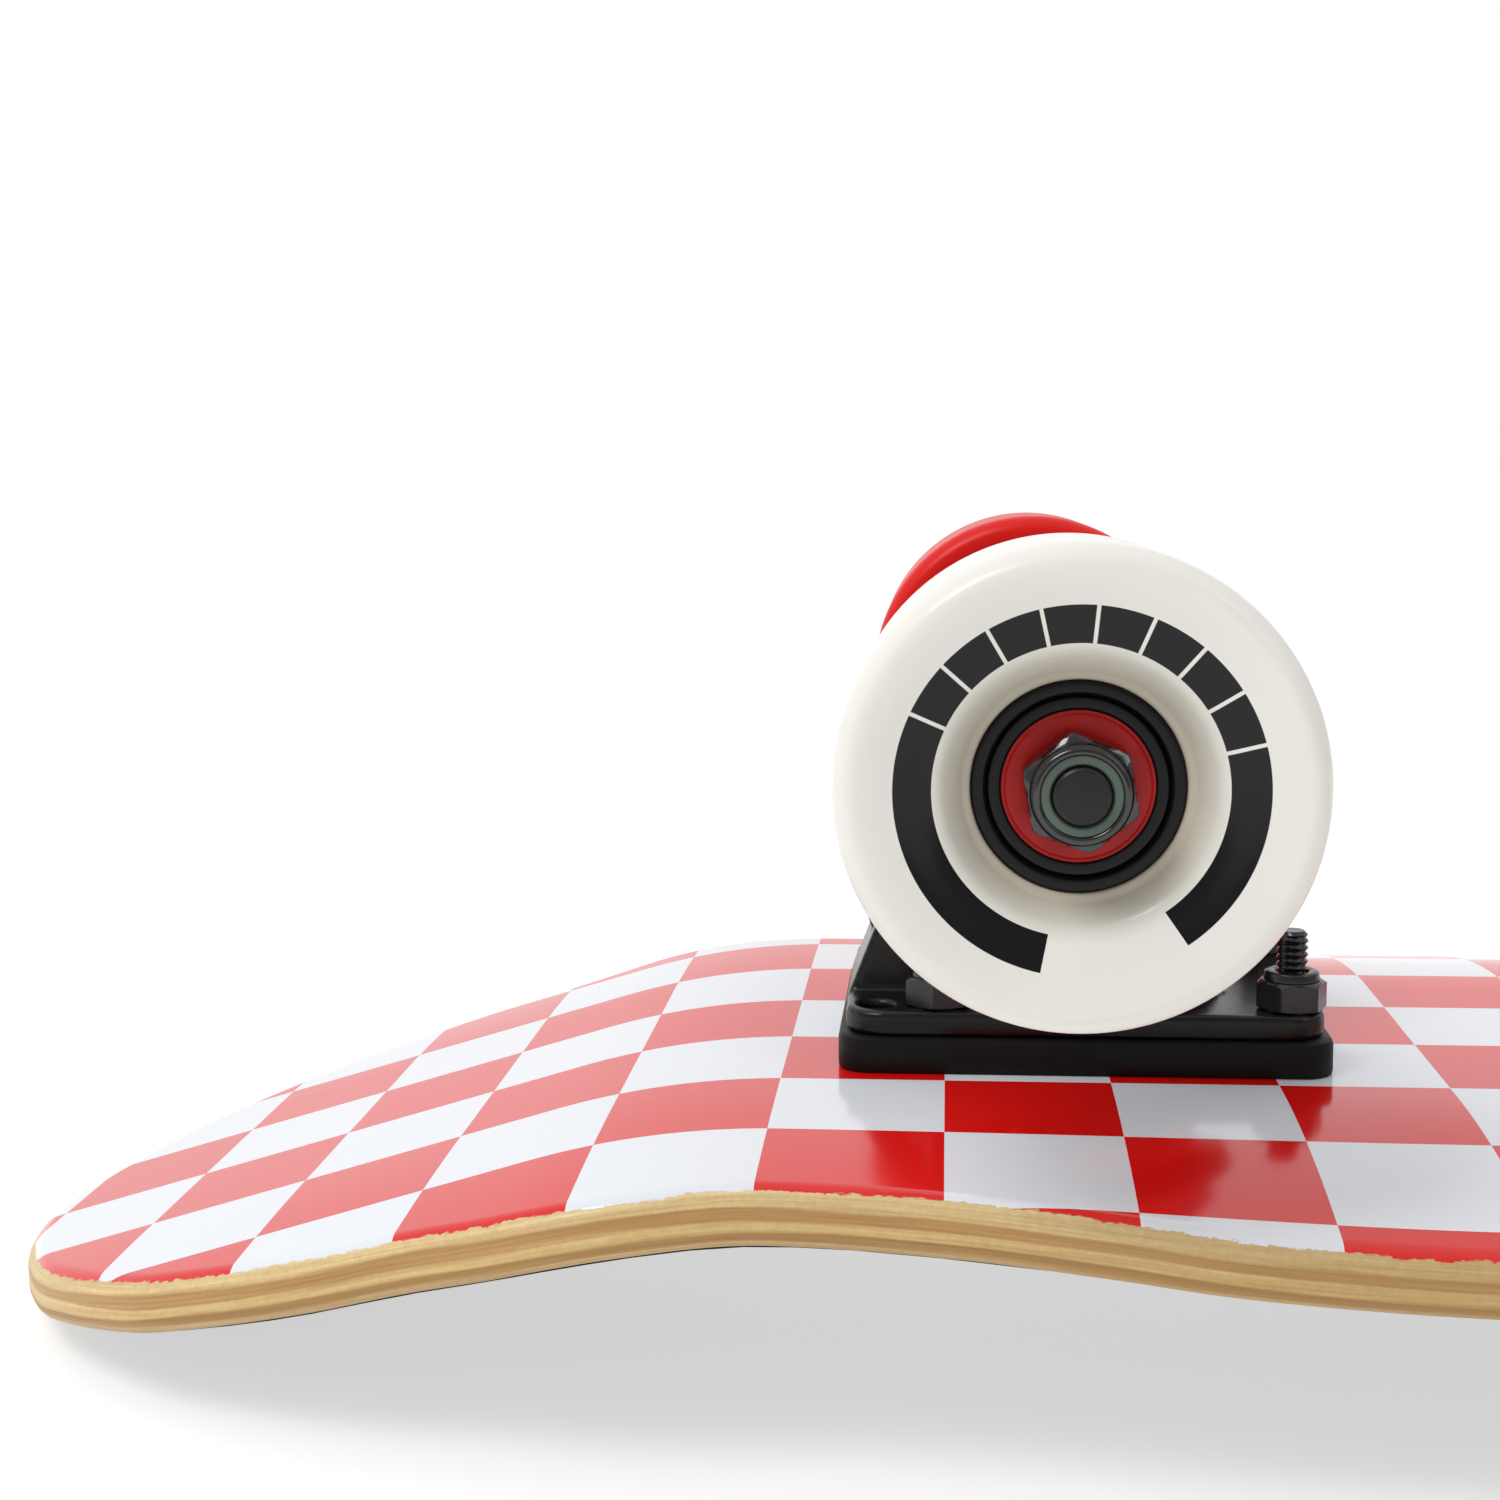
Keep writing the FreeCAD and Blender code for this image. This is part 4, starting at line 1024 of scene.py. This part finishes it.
def build_axle(end):
    """The axle with threaded ends, its two lock nuts and their nylon rings."""
    hanger = end + "_truck_hanger"
    rods, nuts, inserts = [], [], []
    for side in (-1, 1):
        here = axle_frame(end, side)
        seat = here @ Matrix.Translation((0, 0, NUT_SEAT))
        thread = threaded(AXLE_R * 2, AXLE_THREAD_FROM, AXLE_HALF - 1.2, INCH_PITCH, 0.3, 64)
        rods.append(moved(lathe(AXLE_PLAIN, 64), here))
        rods.append(moved(thread, here))
        rods.append(moved(capped(lathe(soften(AXLE_TIP, 0.12, 3), 64)), here))
        nuts.append(moved(hex_nut(AXLE_NUT_FLATS, 5.4, AXLE_R * 2, 1.1, NUT_TURN), seat))
        nuts.append(turned(AXLE_NUT_COLLAR, 0.25, 96, seat))
        inserts.append(turned(NYLON_RING, 0.12, 96, seat))
    for word, shells, slot, node in (
        ("_axle_rod", rods, "axle_steel", "_axle"),
        ("_lock_axle_nuts", nuts, "axle_nut", "_axle_nuts"),
        ("_nylon_rings", inserts, "nylon_insert", "_axle_nut_inserts"),
    ):
        add_shell(end + word, join_shells(shells), hanger, slot, end + node)


# ---------------------------------------------------------------- wheels

# Outlines in (radius, distance outward from the wheel's middle[, own rounding]).
TYRE = [
    (12.95, -4.0),
    (12.95, 14.9),
    (13.15, 15.25, 0.2),
    (14.0, 15.5, 0.8),
    (16.6, 18.6, 2.0),
    (18.6, 19.3, 2.0),
    (22.0, 19.95, 2.5),
    (24.8, 20.95, 2.5),
    (27.5, 21.45, 2.6),
    (29.5, 19.2, 3.2),
    (29.5, -19.2, 3.2),
    (27.5, -21.4, 2.6),
    (24.6, -21.3, 2.0),
    (21.6, -19.3, 3.0),
    (14.4, -10.6, 1.5),
    (12.95, -9.7),
    (12.95, -4.0),
]
CORE = [
    (9.3, 5.6),
    (11.0, 5.6),
    (11.0, 14.6),
    (11.35, 15.3),
    (12.6, 15.3),
    (12.95, 14.95),
    (12.95, -9.3),
    (12.7, -9.6),
    (11.3, -9.6),
    (11.0, -9.3),
    (11.0, -2.2),
    (9.3, -2.2),
    (9.3, 5.6),
]
# The bearings' two outside faces, and which way each looks. The seal and the race are given in
# (radius, depth below that face).
BEARING_FACES = ((-9.2, -1), (14.8, 1))
SEAL = [
    (6.02, 0.9),
    (6.02, 0.08),
    (6.2, 0),
    (8.6, 0),
    (8.7, 0.08),
    (8.8, 0),
    (8.95, 0.18),
    (9.25, 0.1),
    (9.25, 0.9),
]
RACE = [(9.28, 1.2), (9.28, 0.15), (9.5, 0), (10.7, 0), (11.0, 0.3), (11.0, 6.9), (9.6, 6.9)]


def wheel_parts(end, side_name):
    """A wheel: its tyre, core, and the bearing parts that turn with it."""
    tag = "%s_%s" % (end, side_name)
    centre = middle(tag + "_tyre")
    side = 1 if centre.y > 0 else -1
    here = axle_frame(end, side) @ Matrix.Translation((0, 0, abs(centre.y)))
    body = tag + "_wheel"
    rubber = "white_urethane" if tag in WHITE_WHEELS else "red_urethane"

    tyre = lathe(soften(TYRE, 0.3, 8), 160)
    mesh = tidy_mesh(tag + "_urethane", *moved(tyre, here), sharp=50)
    write_values(mesh, "spot", "FLOAT_VECTOR", np.array([tuple(p) for p in tyre[0]]))
    add_piece(tag + "_urethane", mesh, body, rubber, tag + "_tyre")
    add_shell(tag + "_hub_core", turned(CORE, 0.25, 128, here, 3), body, "wheel_core", tag + "_core")

    seals, races = [], []
    for face, out in BEARING_FACES:
        for profile, radius, shells in ((SEAL, 0.1, seals), (RACE, 0.12, races)):
            outline = [(r, face - depth * out) for r, depth in profile]
            shells.append(turned(outline, radius, 112, here, 2))
    add_shell(tag + "_seals", join_shells(seals), body, "bearing_shield", tag + "_bearing_shields")
    add_shell(tag + "_races", join_shells(races), body, "bearing_race", tag + "_bearing_outer_rings")
    paint_node(tag + "_bearing_balls", "bearing_steel")


KEPT_NODES = {
    "pivot_cup": "pivot_cup",
    "bushing_washers": "bushing_washer",
    "speed_washers": "bearing_race",
    "bearing_inner_rings": "bearing_steel",
    "bearing_spacers": "bearing_steel",
}
for end in ("tail", "nose"):
    build_riser(end)
    build_baseplate(end)
    build_bolts(end)
    build_bolt_nuts(end)
    build_kingpin(end)
    build_bushings(end)
    build_hanger(end)
    build_axle(end)
    for word, slot in KEPT_NODES.items():
        paint_node("%s_%s" % (end, word), slot)
    for side_name in ("left", "right"):
        wheel_parts(end, side_name)

# ---------------------------------------------------------------- floor, light and camera

# From here on, lengths are in metres.
FLOOR_REACH = 60.0
CORNERS = ((-1, -1), (1, -1), (1, 1), (-1, 1))
floor_mesh = bpy.data.meshes.new("floor")
floor_mesh.from_pydata([(FLOOR_REACH * x, FLOOR_REACH * y, 0) for x, y in CORNERS], [], [(0, 1, 2, 3)])
floor = bpy.data.objects.new("floor", floor_mesh)
bpy.context.scene.collection.objects.link(floor)
floor.location.z = -0.0005
floor_paint = Paint("pale_floor", Roughness=0.7)
floor_paint.set("Base Color", (0.5, 0.5, 0.5, 1.0))
floor_paint.set("Emission Color", (1.0, 1.0, 1.0, 1.0))
floor_paint.set("Emission Strength", 0.6)
floor_mesh.materials.append(floor_paint.material)

# Light comes from all round, weaker from the front and from the nose's end.
world = bpy.data.worlds.new("studio")
bpy.context.scene.world = world
world.use_nodes = True
sky = world.node_tree
facing = sky.nodes.new("ShaderNodeTexCoord").outputs["Generated"]
split = sky.nodes.new("ShaderNodeSeparateXYZ")
sky.links.new(facing, split.inputs[0])


def sky_step(socket, low, high, to_low, to_high):
    """A soft change of brightness across the studio, from one direction to another."""
    made = sky.nodes.new("ShaderNodeMapRange")
    made.interpolation_type = "SMOOTHSTEP"
    sky.links.new(socket, made.inputs[0])
    for entry, number in zip(list(made.inputs)[1:5], (low, high, to_low, to_high)):
        entry.default_value = number
    return made.outputs[0]


both = sky.nodes.new("ShaderNodeMath")
both.operation = "MULTIPLY"
sky.links.new(sky_step(split.outputs[0], 0.3, 0.95, 1.0, 0.62), both.inputs[0])
sky.links.new(sky_step(split.outputs[1], -0.75, 0.1, 0.4, 1.0), both.inputs[1])
# The background itself is plain white in every view. Only light and reflections get the gradient.
lit = sky.nodes.new("ShaderNodeMath")
lit.operation = "MAXIMUM"
sky.links.new(both.outputs[0], lit.inputs[0])
sky.links.new(sky.nodes.new("ShaderNodeLightPath").outputs["Is Camera Ray"], lit.inputs[1])
sky.links.new(lit.outputs[0], sky.nodes["Background"].inputs["Strength"])
sky.nodes["Background"].inputs["Color"].default_value = (1.0, 1.0, 1.0, 1.0)


def soft_light(name, spot, aim, size, power):
    """An area light that looks at a point."""
    data = bpy.data.lights.new(name, "AREA")
    data.shape = "RECTANGLE"
    data.size, data.size_y = size
    data.energy = power
    lamp = bpy.data.objects.new(name, data)
    bpy.context.scene.collection.objects.link(lamp)
    lamp.location = spot
    lamp.rotation_euler = (Vector(aim) - Vector(spot)).to_track_quat("-Z", "Y").to_euler()


axle = middle("tail_axle") * MM
soft_light("key", (axle.x - 0.8, -0.7, 1.5), axle, (0.7, 0.7), 13)
soft_light("rim", (axle.x + 1.0, -0.5, 0.9), axle, (0.25, 0.8), 1.5)

# The camera stands before the tail's truck. Its place is from that axle's middle, the board's centre
# line and the printed face.
CAMERA_AT = Vector((-0.015668, -0.354305, 0.091441))
CAMERA_YAW, CAMERA_PITCH, CAMERA_ROLL = -0.0911, 0.1251, -0.0096
camera_data = bpy.data.cameras.new("camera")
camera_data.sensor_width = 36
camera_data.lens = 52.279
camera_data.clip_start = 0.01
camera = bpy.data.objects.new("camera", camera_data)
bpy.context.scene.collection.objects.link(camera)
level = Vector((math.cos(CAMERA_YAW), -math.sin(CAMERA_YAW), 0))
ahead = Vector((math.sin(CAMERA_YAW), math.cos(CAMERA_YAW), 0)) * math.cos(CAMERA_PITCH)
forward = ahead - Vector((0, 0, math.sin(CAMERA_PITCH)))
upward = level.cross(forward)
right = level * math.cos(CAMERA_ROLL) + upward * math.sin(CAMERA_ROLL)
upright = upward * math.cos(CAMERA_ROLL) - level * math.sin(CAMERA_ROLL)
turn = Matrix((right, upright, -forward)).transposed().to_4x4()
camera.matrix_world = Matrix.Translation(Vector((axle.x, 0, PRINT_Z * MM)) + CAMERA_AT) @ turn
bpy.context.scene.camera = camera
bpy.context.scene.view_settings.view_transform = "Standard"
